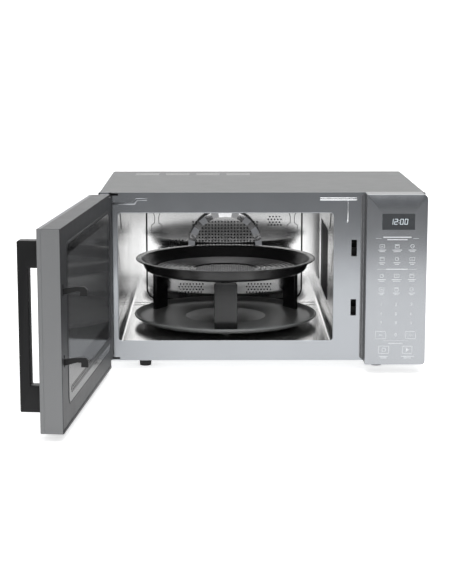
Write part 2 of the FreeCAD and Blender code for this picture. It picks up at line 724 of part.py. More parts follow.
def roller_ring():
    """The loose ring that carries the roller wheels, with three stub axles."""
    z = wheel_height()
    inner = S.roller_circle - S.roller_wheel_width / 2
    body = turned("roller", [
        (inner - 9.0, z - 3.0), (inner - 2.0, z - 3.0), (inner - 2.0, z + 3.0), (inner - 9.0, z + 3.0),
    ])
    axle_sketch = sketch_on(body, "axle_sketch", "YZ_Plane", inner - 4.0)
    ring(axle_sketch, (0.0, z), AXLE_RADIUS)
    axle = body.newObject("PartDesign::Pad", "stub_axle")
    axle.Profile = axle_sketch
    bind(axle, "Length", S.roller_wheel_width + 6.0)
    repeat_around(body, axle, "stub_axles")
    place(body, TRAY_X, TRAY_Y, 0.0)
    body.Placement.Rotation = FreeCAD.Rotation(FreeCAD.Vector(0, 0, 1), 30)
    place(body, TRAY_X, TRAY_Y, 0.0)
    node(body, "roller_ring")


def roller_wheels():
    """Three wheels on the ring's stub axles, each a sub-part of its own."""
    for index, degrees in enumerate((30, 150, 270), start=1):
        body = DOC.addObject("PartDesign::Body", f"wheel_{index}")
        start = S.roller_circle - S.roller_wheel_width / 2
        sketch = sketch_on(body, f"wheel_sketch_{index}", "YZ_Plane", start)
        ring(sketch, (0.0, 0.0), WHEEL_RADIUS)
        ring(sketch, (0.0, 0.0), AXLE_RADIUS + S.running_fit)
        pad = body.newObject("PartDesign::Pad", f"wheel_pad_{index}")
        pad.Profile = sketch
        bind(pad, "Length", S.roller_wheel_width)
        body.Placement.Rotation = FreeCAD.Rotation(FreeCAD.Vector(0, 0, 1), degrees)
        place(body, TRAY_X, TRAY_Y, wheel_height())
        node(body, f"roller_wheel_{index}")


def glass_turntable():
    """The glass tray: flat middle, raised rim and three drive lugs underneath."""
    flat = S.tray_radius - 15.0
    body = turned("tray", [
        (0.0, TRAY_UNDER), (flat + 3.0, TRAY_UNDER), (S.tray_radius, TRAY_TOP - 1.0 + S.tray_rim_rise - 3.0),
        (S.tray_radius, TRAY_TOP + S.tray_rim_rise), (S.tray_radius - 4.0, TRAY_TOP + S.tray_rim_rise),
        (flat, TRAY_TOP), (0.0, TRAY_TOP),
    ])
    lug_sketch = sketch_on(body, "lug_sketch", "XY_Plane", TRAY_UNDER - 5.0)
    ring(lug_sketch, (-16.0, 0.0), 3.0)
    lug = body.newObject("PartDesign::Pad", "drive_lug")
    lug.Profile = lug_sketch
    bind(lug, "Length", 6.0)
    repeat_around(body, lug, "drive_lugs")
    place(body, TRAY_X, TRAY_Y, 0.0)
    node(body, "glass_turntable")


def crisp_pan():
    """The black enamelled crisp pan, with pressed rings in its base."""
    metal = S.pan_wall
    inner_rim = S.pan_rim_radius - S.pan_rim_width
    body = turned("pan", [
        (0.0, PAN_UNDER), (S.pan_base_radius, PAN_UNDER), (inner_rim, PAN_RIM - metal),
        (S.pan_rim_radius, PAN_RIM - metal),
        (S.pan_rim_radius, PAN_RIM), (inner_rim - metal, PAN_RIM),
        (S.pan_base_radius - metal, PAN_UNDER + metal),
        (0.0, PAN_UNDER + metal),
    ])
    place(body, TRAY_X, TRAY_Y, 0.0)
    grooves = []
    for index in range(6):
        grooves.append(torus("pan_ring", "z", 48.0 + 14.0 * index, 1.4,
                             (TRAY_X, TRAY_Y, PAN_UNDER + metal + 0.7)))
    node(cut("pan_grooved", body, grooves), "crisp_pan")


def pan_legs():
    """Three flat legs under the crisp pan, one towards the front, as separate solids."""
    body = DOC.addObject("PartDesign::Body", "legs")
    sketch = sketch_on(body, "leg_sketch", "XY_Plane", PAN_FOOT)
    middle, half = S.tray_radius - S.leg_setback, S.leg_thick / 2
    outline(sketch, rectangle((middle - half, middle + half), (-S.leg_width / 2, S.leg_width / 2)))
    leg = body.newObject("PartDesign::Pad", "leg")
    leg.Profile = sketch
    bind(leg, "Length", S.leg_length)
    rounded(body, 3.0, runs_along("x", lambda p: p.z > PAN_UNDER.value - 0.01))
    pattern = body.newObject("PartDesign::PolarPattern", "leg_pattern")
    pattern.TransformMode = "Whole shape"
    pattern.Axis = (origin_plane(body, "Z_Axis"), [""])
    pattern.Angle = 360.0
    pattern.Occurrences = 3
    body.Tip = pattern
    body.Placement.Rotation = FreeCAD.Rotation(FreeCAD.Vector(0, 0, 1), -90)
    place(body, TRAY_X, TRAY_Y, 0.0)
    node(body, "pan_legs")


def pan_handle():
    """The upright polished hoop on the far side of the pan's rim, for lifting it."""
    y = (TRAY_Y + S.hoop_offset - S.hoop_thick / 2, TRAY_Y + S.hoop_offset + S.hoop_thick / 2)
    through = (y[0] - 1.0, y[1] + 1.0)
    centre = (TRAY_X, PAN_RIM - S.hoop_drop)
    reach = S.hoop_radius + 1.0
    band = cut("hoop_band", rod("hoop_outside", "y", S.hoop_radius, centre, y), [
        rod("hoop_inside", "y", S.hoop_radius - S.hoop_band, centre, through),
        block("hoop_below", (TRAY_X - reach, TRAY_X + reach), through, (centre[1] - reach, PAN_RIM)),
    ])
    node(band, "pan_handle")


# ---------------------------------------------------------------- behind the cavity


def convection_housing():
    """The pressed dish behind the back wall that the convection fan turns in."""
    centre = (TRAY_X, FAN_Z)
    rear = BACK_WALL_REAR + S.convection_depth
    radius, wall = S.convection_radius, S.cavity_wall
    shell = fuse("dish_solid", [
        rod("dish_outside", "y", radius + wall, centre, (BACK_WALL_REAR, rear)),
        rod("dish_flange", "y", radius + 10.0, centre, (BACK_WALL_REAR, BACK_WALL_REAR + wall)),
    ])
    tools = [rod("dish_inside", "y", radius, centre, (BACK_WALL_REAR - 1.0, rear - wall)),
             rod("dish_shaft_hole", "y", 4.0, centre, (rear - 2.0, rear + 1.0))]
    for x, z in convection_lead_spots():
        tools.append(rod("dish_lead_hole", "y", 4.2, (x, z), (rear - 2.0, rear + 1.0)))
    node(cut("dish", shell, tools), "convection_housing")


def convection_lead_spots():
    """Where the ring element's ends pass the convection housing."""
    return [(TRAY_X - 20.0, FAN_Z + 86.0), (TRAY_X + 20.0, FAN_Z + 86.0)]


def convection_heater():
    """The ring element around the convection fan, with its two leads."""
    centre_y = BACK_WALL_REAR + 14.0
    radius = math.hypot(20.0, 86.0)
    hoop = torus("ring_element", "y", radius, 3.2, (TRAY_X, centre_y, FAN_Z))
    leads = [rod("ring_lead", "y", 2.6, spot, (centre_y, BACK_WALL_REAR + S.convection_depth + 14.0))
             for spot in convection_lead_spots()]
    node(fuse("ring_heater", [hoop] + leads), "convection_heater")


def convection_motor():
    """The shaded-pole motor behind the convection housing, with its shaft."""
    centre = (TRAY_X, FAN_Z)
    rear = BACK_WALL_REAR + S.convection_depth
    node(fuse("hot_motor", [
        rod("hot_motor_can", "y", 30.0, centre, (rear, rear + 26.0)),
        block("hot_motor_core", (TRAY_X - 34.0, TRAY_X + 34.0), (rear + 6.0, rear + 20.0),
              (FAN_Z - 34.0, FAN_Z + 34.0)),
        rod("hot_motor_shaft", "y", SHAFT_RADIUS, centre, (BACK_WALL_REAR + 8.0, rear)),
    ]), "convection_motor")


def impeller(name, centre, span, radii, count, pitch_degrees, thick):
    """A fan: hub with its bore and blades set at an angle, turning about y."""
    x, z = centre
    hub_radius, tip_radius, bore = radii
    length = span[1] - span[0]
    pieces = [rod(name + "_hub", "y", hub_radius, centre, span)]
    for index in range(count):
        angle = 360.0 * index / count
        blade = DOC.addObject("Part::Box", name + "_blade")
        bind(blade, "Length", tip_radius - hub_radius + 2.0)
        bind(blade, "Width", length / math.cos(math.radians(pitch_degrees)) - thick)
        bind(blade, "Height", thick)
        spin = FreeCAD.Rotation(FreeCAD.Vector(0, 1, 0), angle)
        twist = FreeCAD.Rotation(FreeCAD.Vector(1, 0, 0), pitch_degrees)
        blade.Placement.Rotation = spin.multiply(twist)
        root = spin.multVec(FreeCAD.Vector(1, 0, 0))
        reach = hub_radius - 2.0
        place(blade, x + reach * root.x, span[0] + 0.6, z + reach * root.z)
        pieces.append(blade)
    solid = fuse(name + "_solid", pieces)
    solid.Refine = False
    return cut(name, solid, [rod(name + "_bore", "y", bore, centre, (span[0] - 1.0, span[1] + 1.0))])


def convection_fan_blade():
    """The steel impeller in the convection housing."""
    span = (BACK_WALL_REAR + 9.0, BACK_WALL_REAR + 23.0)
    radii = (as_size(16.0), as_size(66.0), SHAFT_RADIUS + S.running_fit)
    node(impeller("hot_fan", (TRAY_X, FAN_Z), span, radii, 7, 35.0, 1.2), "convection_fan_blade")


def rear_bulge_cover():
    """The pressed cover over the convection motor, on the outside of the rear panel."""
    half = S.convection_radius + 12.0
    z_half = half - 10.0
    wall = S.sheet_wall
    outer = padded("bulge_outside", "XZ_Plane",
                   [rectangle((TRAY_X - half, TRAY_X + half), (FAN_Z - z_half, FAN_Z + z_half))],
                   -(BACK + S.bulge_depth), S.bulge_depth)
    rounded(outer, 12.0, runs_along("y"))
    inner = padded("bulge_inside", "XZ_Plane",
                   [rectangle((TRAY_X - half + wall, TRAY_X + half - wall),
                              (FAN_Z - z_half + wall, FAN_Z + z_half - wall))],
                   -(BACK + S.bulge_depth - wall), S.bulge_depth)
    rounded(inner, 11.0, runs_along("y"))
    rim = block("bulge_rim", (TRAY_X - half - 8.0, TRAY_X + half + 8.0), (BACK, BACK + wall),
                (FAN_Z - z_half - 8.0, FAN_Z + z_half + 8.0))
    tools = [inner]
    for row in range(10):
        low = FAN_Z - 50.0 + 10.0 * row
        tools.append(block("bulge_slot", (TRAY_X - 60.0, TRAY_X + 60.0),
                           (BACK + S.bulge_depth - 3.0, BACK + S.bulge_depth + 1.0), (low, low + 4.0)))
    node(cut("bulge", fuse("bulge_solid", [outer, rim]), tools), "rear_bulge_cover")


# ---------------------------------------------------------------- electrical compartment


def waveguide():
    """The box duct from the magnetron to the port."""
    (y0, y1), (z0, z1) = waveguide_port()
    box = block("guide_box", (CAVITY_SIDE, CAVITY_SIDE + 30.0), (y0 - 10.0, y1 + 10.0), (z0 - 8.0, z1 + 8.0))
    hollow = block("guide_hollow", (CAVITY_SIDE - 1.0, CAVITY_SIDE + 28.8), (y0 - 8.8, y1 + 8.8),
                   (z0 - 6.8, z1 + 6.8))
    antenna = rod("antenna_hole", "x", 11.0, magnetron_axis(), (CAVITY_SIDE + 27.0, CAVITY_SIDE + 31.0))
    node(cut("guide", box, [hollow, antenna]), "waveguide")


def magnetron_axis():
    """The magnetron's axis across X."""
    (y0, y1), (z0, z1) = waveguide_port()
    return (y0 + y1) / 2, (z0 + z1) / 2


def magnetron():
    """The magnetron: yoke, cooling fins, anode, antenna and filter box."""
    y, z = magnetron_axis()
    start = CAVITY_SIDE + 30.0
    pieces = [
        block("yoke_front", (start, start + 2.0), (y - 43.0, y + 43.0), (z - 40.0, z + 40.0)),
        block("yoke_back", (start + 52.0, start + 54.0), (y - 43.0, y + 43.0), (z - 40.0, z + 40.0)),
        block("yoke_low", (start, start + 54.0), (y - 43.0, y + 43.0), (z - 40.0, z - 38.0)),
        block("yoke_high", (start, start + 54.0), (y - 43.0, y + 43.0), (z + 38.0, z + 40.0)),
        rod("anode", "x", 20.0, (y, z), (start + 2.0, start + 52.0)),
        rod("antenna", "x", 9.0, (y, z), (start - 15.0, start)),
        block("filter_box", (start + 54.0, start + 84.0), (y - 30.0, y + 30.0), (z - 30.0, z + 30.0)),
    ]
    for index in range(6):
        x = start + 9.0 + 6.6 * index
        pieces.append(block("cooling_fin", (x, x + 0.8), (y - 38.0, y + 38.0), (z - 38.0, z + 38.0)))
    node(fuse("magnetron_solid", pieces), "magnetron")


def transformer_spot():
    """The transformer's middle on the base plate."""
    return RIGHT - 69.5, BACK - 117.5


def transformer_core():
    """The laminated core on its foot plate."""
    x, y = transformer_spot()
    foot = block("core_foot", (x - 55.0, x + 55.0), (y - 35.0, y + 35.0), (BASE_TOP, BASE_TOP + 2.0))
    stack = block("core_stack", (x - 45.0, x + 45.0), (y - 35.0, y + 35.0), (BASE_TOP + 2.0, BASE_TOP + 74.0))
    windows = [block("core_window", (x + side - 7.5, x + side + 7.5), (y - 36.0, y + 36.0),
                     (BASE_TOP + 16.0, BASE_TOP + 60.0))
               for side in (-22.5, 22.5)]
    node(cut("core", fuse("core_solid", [foot, stack]), windows), "transformer_core")


def transformer_windings():
    """The coils around the core's middle limb."""
    x, y = transformer_spot()
    coil = block("coil_outside", (x - 29.0, x + 29.0), (y - 47.0, y + 47.0),
                 (BASE_TOP + 16.0, BASE_TOP + 60.0))
    limb = block("coil_inside", (x - 15.4, x + 15.4), (y - 35.4, y + 35.4),
                 (BASE_TOP + 15.0, BASE_TOP + 61.0))
    node(cut("coil", coil, [limb]), "transformer_windings")


def hv_capacitor():
    """The high-voltage capacitor with its two blade terminals."""
    x, y = RIGHT - 90.0, FRONT + 120.0
    node(fuse("capacitor", [
        rod("capacitor_can", "z", 21.0, (x, y), (BASE_TOP, BASE_TOP + 86.0)),
        block("terminal_a", (x - 12.0, x - 11.2), (y - 3.0, y + 3.0), (BASE_TOP + 86.0, BASE_TOP + 97.0)),
        block("terminal_b", (x + 11.2, x + 12.0), (y - 3.0, y + 3.0), (BASE_TOP + 86.0, BASE_TOP + 97.0)),
    ]), "hv_capacitor")


def hv_diode():
    """The high-voltage diode on its earth clip."""
    x, y = RIGHT - 50.0, FRONT + 120.0
    node(fuse("diode", [
        rod("diode_body", "x", 3.5, (y, BASE_TOP + 14.0), (x - 12.0, x + 12.0)),
        block("diode_clip", (x - 3.0, x + 3.0), (y - 3.0, y + 3.0), (BASE_TOP, BASE_TOP + 14.0)),
    ]), "hv_diode")


def cooling_fan_centre():
    """The cooling fan's axis, as X and Z."""
    return CAVITY_SIDE + 74.0, BOTTOM + 165.0


def cooling_fan_housing():
    """The square fan frame with its round duct and four motor struts."""
    x, z = cooling_fan_centre()
    half = S.cooling_fan_size / 2
    front = REAR_INNER - 25.0
    frame = block("fan_frame", (x - half, x + half), (front, REAR_INNER), (z - half, z + half))
    duct = rod("fan_duct", "y", half - 4.0, (x, z), (front - 1.0, REAR_INNER + 1.0))
    struts = [
        block("strut_flat", (x - half + 2.0, x + half - 2.0), (REAR_INNER - 3.0, REAR_INNER),
              (z - 2.5, z + 2.5)),
        block("strut_up", (x - 2.5, x + 2.5), (REAR_INNER - 3.0, REAR_INNER),
              (z - half + 2.0, z + half - 2.0)),
    ]
    node(fuse("fan_case", [cut("fan_square", frame, [duct])] + struts), "cooling_fan_housing")


def cooling_fan_motor():
    """The fan motor on the struts, with its shaft."""
    x, z = cooling_fan_centre()
    node(fuse("fan_motor", [
        rod("fan_motor_can", "y", 19.0, (x, z), (REAR_INNER - 13.0, REAR_INNER - 3.0)),
        rod("fan_motor_shaft", "y", FAN_SHAFT_RADIUS, (x, z), (REAR_INNER - 23.0, REAR_INNER - 13.0)),
    ]), "cooling_fan_motor")


def cooling_fan_blade():
    """The plastic cooling impeller."""
    span = (REAR_INNER - 24.0, REAR_INNER - 15.0)
    radii = (as_size(17.0), S.cooling_fan_size / 2 - 7.0, FAN_SHAFT_RADIUS + S.running_fit)
    node(impeller("cool_fan", cooling_fan_centre(), span, radii, 7, 35.0, 1.6), "cooling_fan_blade")


def noise_filter_board():
    """The mains filter board near the cord gland, on four pillars."""
    x, z = CAVITY_SIDE + 60.0, TOP - 28.0
    front = REAR_INNER - 15.0
    pieces = [block("filter_board", (x - 40.0, x + 40.0), (front - S.board_thick, front),
                    (z - 21.0, z + 21.0)),
              rod("filter_choke", "y", 12.0, (x + 20.0, z), (front - 14.0, front - S.board_thick)),
              block("filter_fuse", (x - 34.0, x - 8.0), (front - 9.0, front - S.board_thick),
                    (z - 6.0, z + 2.0))]
    for side in (-35.0, 35.0):
        for height in (-16.0, 16.0):
            pieces.append(rod("filter_pillar", "y", 3.0, (x + side, z + height), (front, REAR_INNER)))
    node(fuse("filter", pieces), "noise_filter_board")


def gland_centre():
    """Where the mains cord would enter, as X and Z."""
    return RIGHT - 24.5, BOTTOM + 40.0


def cord_gland():
    """The cord bushing in the rear panel, empty."""
    centre = gland_centre()
    bush = fuse("gland_solid", [
        rod("gland_neck", "y", 7.0, centre, (REAR_INNER, BACK)),
        rod("gland_outside", "y", 10.0, centre, (BACK, BACK + 6.0)),
        rod("gland_inside", "y", 9.0, centre, (REAR_INNER - 4.0, REAR_INNER)),
    ])
    node(cut("gland", bush, [rod("gland_bore", "y", 4.0, centre, (REAR_INNER - 5.0, BACK + 7.0))]),
         "cord_gland")


def cavity_lamp():
    """The lamp behind the perforated patch of the right cavity wall, in its holder."""
    y, z = FRONT + 82.0, CAVITY_FLOOR + 112.0
    box = block("lamp_box", (CAVITY_SIDE, CAVITY_SIDE + 17.0), (y - 22.0, y + 22.0), (z - 24.0, z + 24.0))
    hollow = block("lamp_hollow", (CAVITY_SIDE - 1.0, CAVITY_SIDE + 15.8), (y - 20.8, y + 20.8),
                   (z - 22.8, z + 22.8))
    bulb = rod("lamp_bulb", "z", 6.0, (CAVITY_SIDE + 8.0, y), (z - 22.8, z + 8.0))
    node(fuse("lamp", [cut("lamp_holder", box, [hollow]), bulb]), "cavity_lamp")


def thermal_cutouts():
    """Two bimetal cut-outs: one on the cavity ceiling, one on the magnetron."""
    y, z = magnetron_axis()
    top = CAVITY_CEILING + S.cavity_wall
    node(group("cutouts", [
        rod("ceiling_cutout", "z", 8.0, (TRAY_X + 90.0, TRAY_Y), (top, top + 9.0)),
        rod("magnetron_cutout", "z", 8.0, (CAVITY_SIDE + 57.0, y), (z + 40.0, z + 49.0)),
    ]), "thermal_cutouts")


# ---------------------------------------------------------------- controls


def control_housing():
    """The moulded frame behind the fascia, with its flange against the front plate."""
    wall = S.control_wall
    outside = padded("housing_outside", "XZ_Plane", [rectangle((PANEL_LEFT, RIGHT), (BOTTOM, TOP))], -FRONT,
                     FRONT - PANEL_BACK)
    rounded(outside, S.fascia_corner, runs_along("y", lambda p: p.x > RIGHT.value - 0.01))
    inside = block("housing_inside", (PANEL_LEFT + wall, RIGHT - wall), (PANEL_BACK - 1.0, FRONT + 1.0),
                   (BOTTOM + wall, TOP - wall))
    flange = padded("housing_flange", "XZ_Plane", [[
        (PANEL_LEFT - 6.6, BOTTOM + 6.0), (PANEL_LEFT, BOTTOM), (PANEL_LEFT, TOP),
        (PANEL_LEFT - 6.6, TOP - 6.0),
    ]], -FRONT, 0.8)
    node(fuse("housing", [cut("housing_hollow", outside, [inside]), flange]), "control_housing")


def display_span():
    """The display lens between its sides and between its edges."""
    x = (PANEL_LEFT + RIGHT) / 2 + 2.1
    z = BOTTOM + S.display_lift - 2.2
    half_width, half_height = S.display_width / 2, S.display_height / 2
    return (x - half_width, x + half_width), (z - half_height, z + half_height)


def control_fascia():
    """The control panel face, with a seat for the display lens and pillars for the board."""
    face = padded("fascia_face", "XZ_Plane", [rectangle((PANEL_LEFT, RIGHT), (BOTTOM, TOP))], -PANEL_BACK,
                  S.fascia_thick)
    rounded(face, S.fascia_corner, runs_along("y", lambda p: p.x > RIGHT.value - 0.01))
    (x0, x1), (z0, z1) = display_span()
    seat = block("lens_seat", (x0, x1), (PANEL_FACE - 1.0, PANEL_FACE + S.lens_thick), (z0, z1))
    view = block("lens_view", (x0 + 3.0, x1 - 3.0), (PANEL_FACE, PANEL_BACK + 1.0), (z0 + 3.0, z1 - 3.0))
    pillars = [rod("board_pillar", "y", 2.5, (x, z), (PANEL_BACK, BOARD_FRONT))
               for x in (PANEL_LEFT + 11.0, RIGHT - 11.0) for z in (BOTTOM + 15.0, TOP - 19.0)]
    node(fuse("fascia", [cut("fascia_cut", face, [seat, view])] + pillars), "control_fascia")


def display_lens():
    """The dark lens over the display."""
    (x0, x1), (z0, z1) = display_span()
    lens = padded("lens", "XZ_Plane", [rectangle((x0, x1), (z0, z1))], -(PANEL_FACE + S.lens_thick),
                  S.lens_thick)
    node(lens, "display_lens")


def display_module():
    """The lit display block between the fascia and the board."""
    (x0, x1), (z0, z1) = display_span()
    node(block("display_block", (x0 + 2.0, x1 - 2.0), (PANEL_BACK, BOARD_FRONT), (z0 + 2.0, z1 - 2.0)),
         "display_module")


def touch_foil():
    """The touch sensor foil behind the fascia."""
    under_display = display_span()[1][0] - 8.0
    node(block("foil", (PANEL_LEFT + 15.6, RIGHT - 15.6), (PANEL_BACK, PANEL_BACK + 0.8),
               (BOTTOM + 25.0, under_display)), "touch_foil")


def control_board():
    """The control board with its relays and transformer."""
    rear = BOARD_FRONT + S.board_thick
    pieces = [block("board", (PANEL_LEFT + 7.6, RIGHT - 7.6), (BOARD_FRONT, rear),
                    (BOTTOM + 9.0, TOP - 13.0))]
    for index in range(3):
        low = BOTTOM + 50.0 + 26.0 * index
        pieces.append(block("relay", (PANEL_LEFT + 18.0, PANEL_LEFT + 34.0), (rear, rear + 16.0),
                            (low, low + 20.0)))
    pieces.append(block("board_transformer", (PANEL_LEFT + 44.0, PANEL_LEFT + 78.0), (rear, rear + 24.0),
                        (BOTTOM + 60.0, BOTTOM + 88.0)))
    pieces.append(rod("buzzer", "y", 8.0, (PANEL_LEFT + 60.0, BOTTOM + 140.0), (rear, rear + 9.0)))
    node(fuse("board_solid", pieces), "control_board")


def latch_pocket(height):
    """The pocket that one hook moves in, as Y and Z spans."""
    return (PLATE_BACK - 1.0, HINGE_Y + HOOK_TIP + 4.0), (height - 19.0, height + 12.0)


def latch_body():
    """The moulded latch frame behind the front plate, with a catch lip in each hook pocket."""
    middle = HINGE_X + HOOK_X
    back = HINGE_Y + HOOK_TIP + 9.0
    frame = block("latch_frame", (middle - 14.0, middle + 16.0), (PLATE_BACK, back),
                  (S.lower_hook - 30.0, UPPER_HOOK + 22.0))
    tools, lips = [], []
    for height in (S.lower_hook, UPPER_HOOK):
        y, z = latch_pocket(height)
        tools.append(block("hook_pocket", (middle - 5.25, middle + 7.0), y, z))
        tools.append(rod("plunger_hole", "y", PLUNGER_RADIUS + S.running_fit, (middle, height - 1.0),
                         (y[1] - 1.0, back + 1.0)))
        lip_y = HINGE_Y + HOOK_TIP - 15.0
        lips.append(block("catch_lip", (middle - 5.25, middle + 7.0), (lip_y, lip_y + 4.0),
                          (z[0], height - HOOK_DIP - 0.3)))
    node(fuse("latch_frame_solid", [cut("latch_pockets", frame, tools)] + lips), "latch_body")


def door_switches():
    """Two microswitches behind the latch frame, each bored for its plunger."""
    middle = HINGE_X + HOOK_X
    back = HINGE_Y + HOOK_TIP + 9.0
    cases = []
    for height in (S.lower_hook, UPPER_HOOK):
        case = block("switch_case", (middle - 6.0, middle + 6.0), (back, back + 24.0),
                     (height - 11.0, height + 9.0))
        bore = rod("switch_bore", "y", PLUNGER_RADIUS + S.running_fit, (middle, height - 1.0),
                   (back - 1.0, back + 8.0))
        cases.append(cut("switch", case, [bore]))
    node(group("switch_pair", cases), "door_switches")


def switch_plungers():
    """The sprung plungers that the hook tips press."""
    middle = HINGE_X + HOOK_X
    tip = HINGE_Y + HOOK_TIP + 0.4
    for name, height in (("lower", S.lower_hook), ("upper", UPPER_HOOK)):
        node(rod(f"plunger_{name}", "y", PLUNGER_RADIUS, (middle, height - 1.0), (tip, tip + 14.0)),
             f"switch_plunger_{name}")


# ---------------------------------------------------------------- hinges and door


def door_hinges():
    """The lower and upper hinge brackets: flange behind the plate, tongue through it, and pin."""
    left = HINGE_X - 3.5
    brackets = []
    lower, upper = hinge_slot_heights()
    for slot, flange_ends, pin_ends in (
        (lower, (lower[0] + 0.6, lower[0] + 34.0), (lower[0] + 0.6 + S.hinge_plate, lower[0] + 15.0)),
        (upper, (upper[1] - 34.0, upper[1] - 1.0), (upper[1] - 15.0, upper[1] - 1.0 - S.hinge_plate)),
    ):
        low = slot[0] + 0.6 if slot is lower else slot[1] - 1.0 - S.hinge_plate
        tongue = block("hinge_tongue", (left + 0.5, left + HINGE_TONGUE_WIDTH),
                       (HINGE_Y - 4.0, PLATE_BACK + 2.0),
                       (low, low + S.hinge_plate))
        flange = block("hinge_flange", (left + 2.2, left + 16.0), (PLATE_BACK, PLATE_BACK + 2.0), flange_ends)
        pin = rod("hinge_pin", "z", S.hinge_pin_radius, (HINGE_X, HINGE_Y), pin_ends)
        brackets.append(fuse("hinge_bracket", [tongue, flange, pin]))
    node(group("hinge_pair", brackets), "door_hinges")


def hinge_notches():
    """The two corners taken out of the door for the hinge tongues."""
    x = (DOOR_LEFT - 1.0, 16.0)
    y = (DOOR_OUTER - 1.0, DOOR_INNER + 1.0)
    return [block("notch_low", x, y, (DOOR_BOTTOM - 1.0, DOOR_BOTTOM + LOWER_NOTCH)),
            block("notch_high", x, y, (DOOR_TOP - HINGE_NOTCH, DOOR_TOP + 1.0))]


def door_facade():
    """The outer door panel with a rebate for its glass."""
    panel = padded("facade_panel", "XZ_Plane", [rectangle((DOOR_LEFT, DOOR_RIGHT), (DOOR_BOTTOM, DOOR_TOP))],
                   -FACADE_BACK, S.facade_thick)
    on_face = lambda p: p.y < DOOR_OUTER.value + 0.01
    rounded(panel, 2.0, lambda edge: runs_along("x", on_face)(edge) or runs_along("z", on_face)(edge))
    x, z = facade_window()
    rebate = block("glass_rebate", x, (DOOR_OUTER - 1.0, DOOR_OUTER + S.glass_thick), z)
    view = block("glass_view", (x[0] + 6.0, x[1] - 6.0), (DOOR_OUTER, FACADE_BACK + 1.0),
                 (z[0] + 6.0, z[1] - 6.0))
    bolts = [rod("screw_way", "y", 2.0 + S.running_fit, (HANDLE_X, height),
                 (DOOR_OUTER - 1.0, FACADE_BACK + 1.0))
             for height in handle_screw_heights()]
    node(hung(cut("facade", panel, [rebate, view] + bolts + hinge_notches())), "door_facade")


def facade_window():
    """The outer glass between its sides and between its edges."""
    return (CHOKE_LEFT + 10.0, CHOKE_RIGHT - 4.0), (CHOKE_BOTTOM + 4.0, CHOKE_TOP - 8.0)


def door_glass():
    """The outer glass pane."""
    x, z = facade_window()
    pane = padded("pane", "XZ_Plane", [rectangle(x, z)], -(DOOR_OUTER + S.glass_thick), S.glass_thick)
    node(hung(pane), "door_glass")


def handle_screw_heights():
    """The handle screws stand in the middle of its posts."""
    return S.handle_bottom + S.handle_post / 2, HANDLE_TOP - S.handle_post / 2


def door_body():
    """The inner door shell: face sheet, side walls, hinge blocks, latch guide and spring seat."""
    wall = S.door_wall
    solid = block("body_outside", (DOOR_LEFT, DOOR_RIGHT), (BODY_FRONT, DOOR_INNER), (DOOR_BOTTOM, DOOR_TOP))
    lip = block("body_lip", (DOOR_LEFT + 3.0, DOOR_RIGHT - 3.0), (FACADE_BACK, BODY_FRONT),
                (DOOR_BOTTOM + 3.0, DOOR_TOP - 3.0))
    hollow = block("body_hollow", (DOOR_LEFT + 3.0 + wall, DOOR_RIGHT - 3.0 - wall),
                   (FACADE_BACK - 1.0, SHEET_IN),
                   (DOOR_BOTTOM + 3.0 + wall, DOOR_TOP - 3.0 - wall))
    shell = cut("body_shell", fuse("body_solid", [solid, lip]), [hollow])
    low, high = DOOR_BOTTOM + LOWER_NOTCH, DOOR_TOP - HINGE_NOTCH
    guide_x = (HOOK_X - 7.0, HOOK_X + 7.0)
    guide_y = (SHEET_IN - 15.0, SHEET_IN)
    mid = (S.lower_hook + UPPER_HOOK) / 2
    extras = [
        block("hinge_block_low", (DOOR_LEFT, 17.6), (FACADE_BACK, DOOR_INNER), (low, low + 14.0)),
        block("hinge_block_high", (DOOR_LEFT, 17.6), (FACADE_BACK, DOOR_INNER), (high - 14.0, high)),
        block("latch_guide", guide_x, guide_y, (mid - 12.0, mid + 12.0)),
        block("spring_seat", guide_x, guide_y, (UPPER_HOOK + 40.0, UPPER_HOOK + 44.0)),
    ]
    tools = hinge_notches()
    tools.append(block("window_way", (S.window_left, WINDOW_RIGHT), (SHEET_IN - 1.0, DOOR_INNER + 1.0),
                       (S.window_bottom, WINDOW_TOP)))
    tools.append(block("key_way", (HOOK_X - S.hook_thick / 2 - 0.3, HOOK_X + S.hook_thick / 2 + 0.3),
                       (SHEET_IN - 12.0, SHEET_IN - 3.0), (mid - 13.0, mid + 13.0)))
    for height in (S.lower_hook, UPPER_HOOK):
        tools.append(block("hook_way", (HOOK_X - S.hook_thick / 2 - 0.6, HOOK_X + S.hook_thick / 2 + 0.6),
                           (SHEET_IN - 1.0, DOOR_INNER + 1.0),
                           (height - HOOK_DIP - 1.0, height + HOOK_RISE + HOOK_TRAVEL + 1.0)))
    for pin_low in (low - 1.0, high - 13.0):
        tools.append(rod("pin_bore", "z", S.hinge_pin_radius + S.running_fit, (0.0, 0.0),
                         (pin_low, pin_low + 14.0)))
    node(hung(cut("body", fuse("body_filled", [shell] + extras), tools)), "door_body")


def choke_frame():
    """The metal choke channel around the inner window; its lip carries the window."""
    y = (SHEET_IN - 10.6, SHEET_IN)
    outside = block("choke_outside", (CHOKE_LEFT, CHOKE_RIGHT), y, (CHOKE_BOTTOM, CHOKE_TOP))
    view = block("choke_view", (S.window_left + 3.0, WINDOW_RIGHT - 3.0), (y[0] - 1.0, y[1] + 1.0),
                 (S.window_bottom + 3.0, WINDOW_TOP - 3.0))
    channel = block("channel_outside", (CHOKE_LEFT + 1.2, CHOKE_RIGHT - 1.2), (y[0] - 1.0, SHEET_IN - 1.2),
                    (CHOKE_BOTTOM + 1.2, CHOKE_TOP - 1.2))
    kerb = block("channel_inside", (S.window_left + 1.8, WINDOW_RIGHT - 1.8), (y[0] - 2.0, SHEET_IN),
                 (S.window_bottom + 1.8, WINDOW_TOP - 1.8))
    node(hung(cut("choke", outside, [cut("channel", channel, [kerb]), view])), "choke_frame")


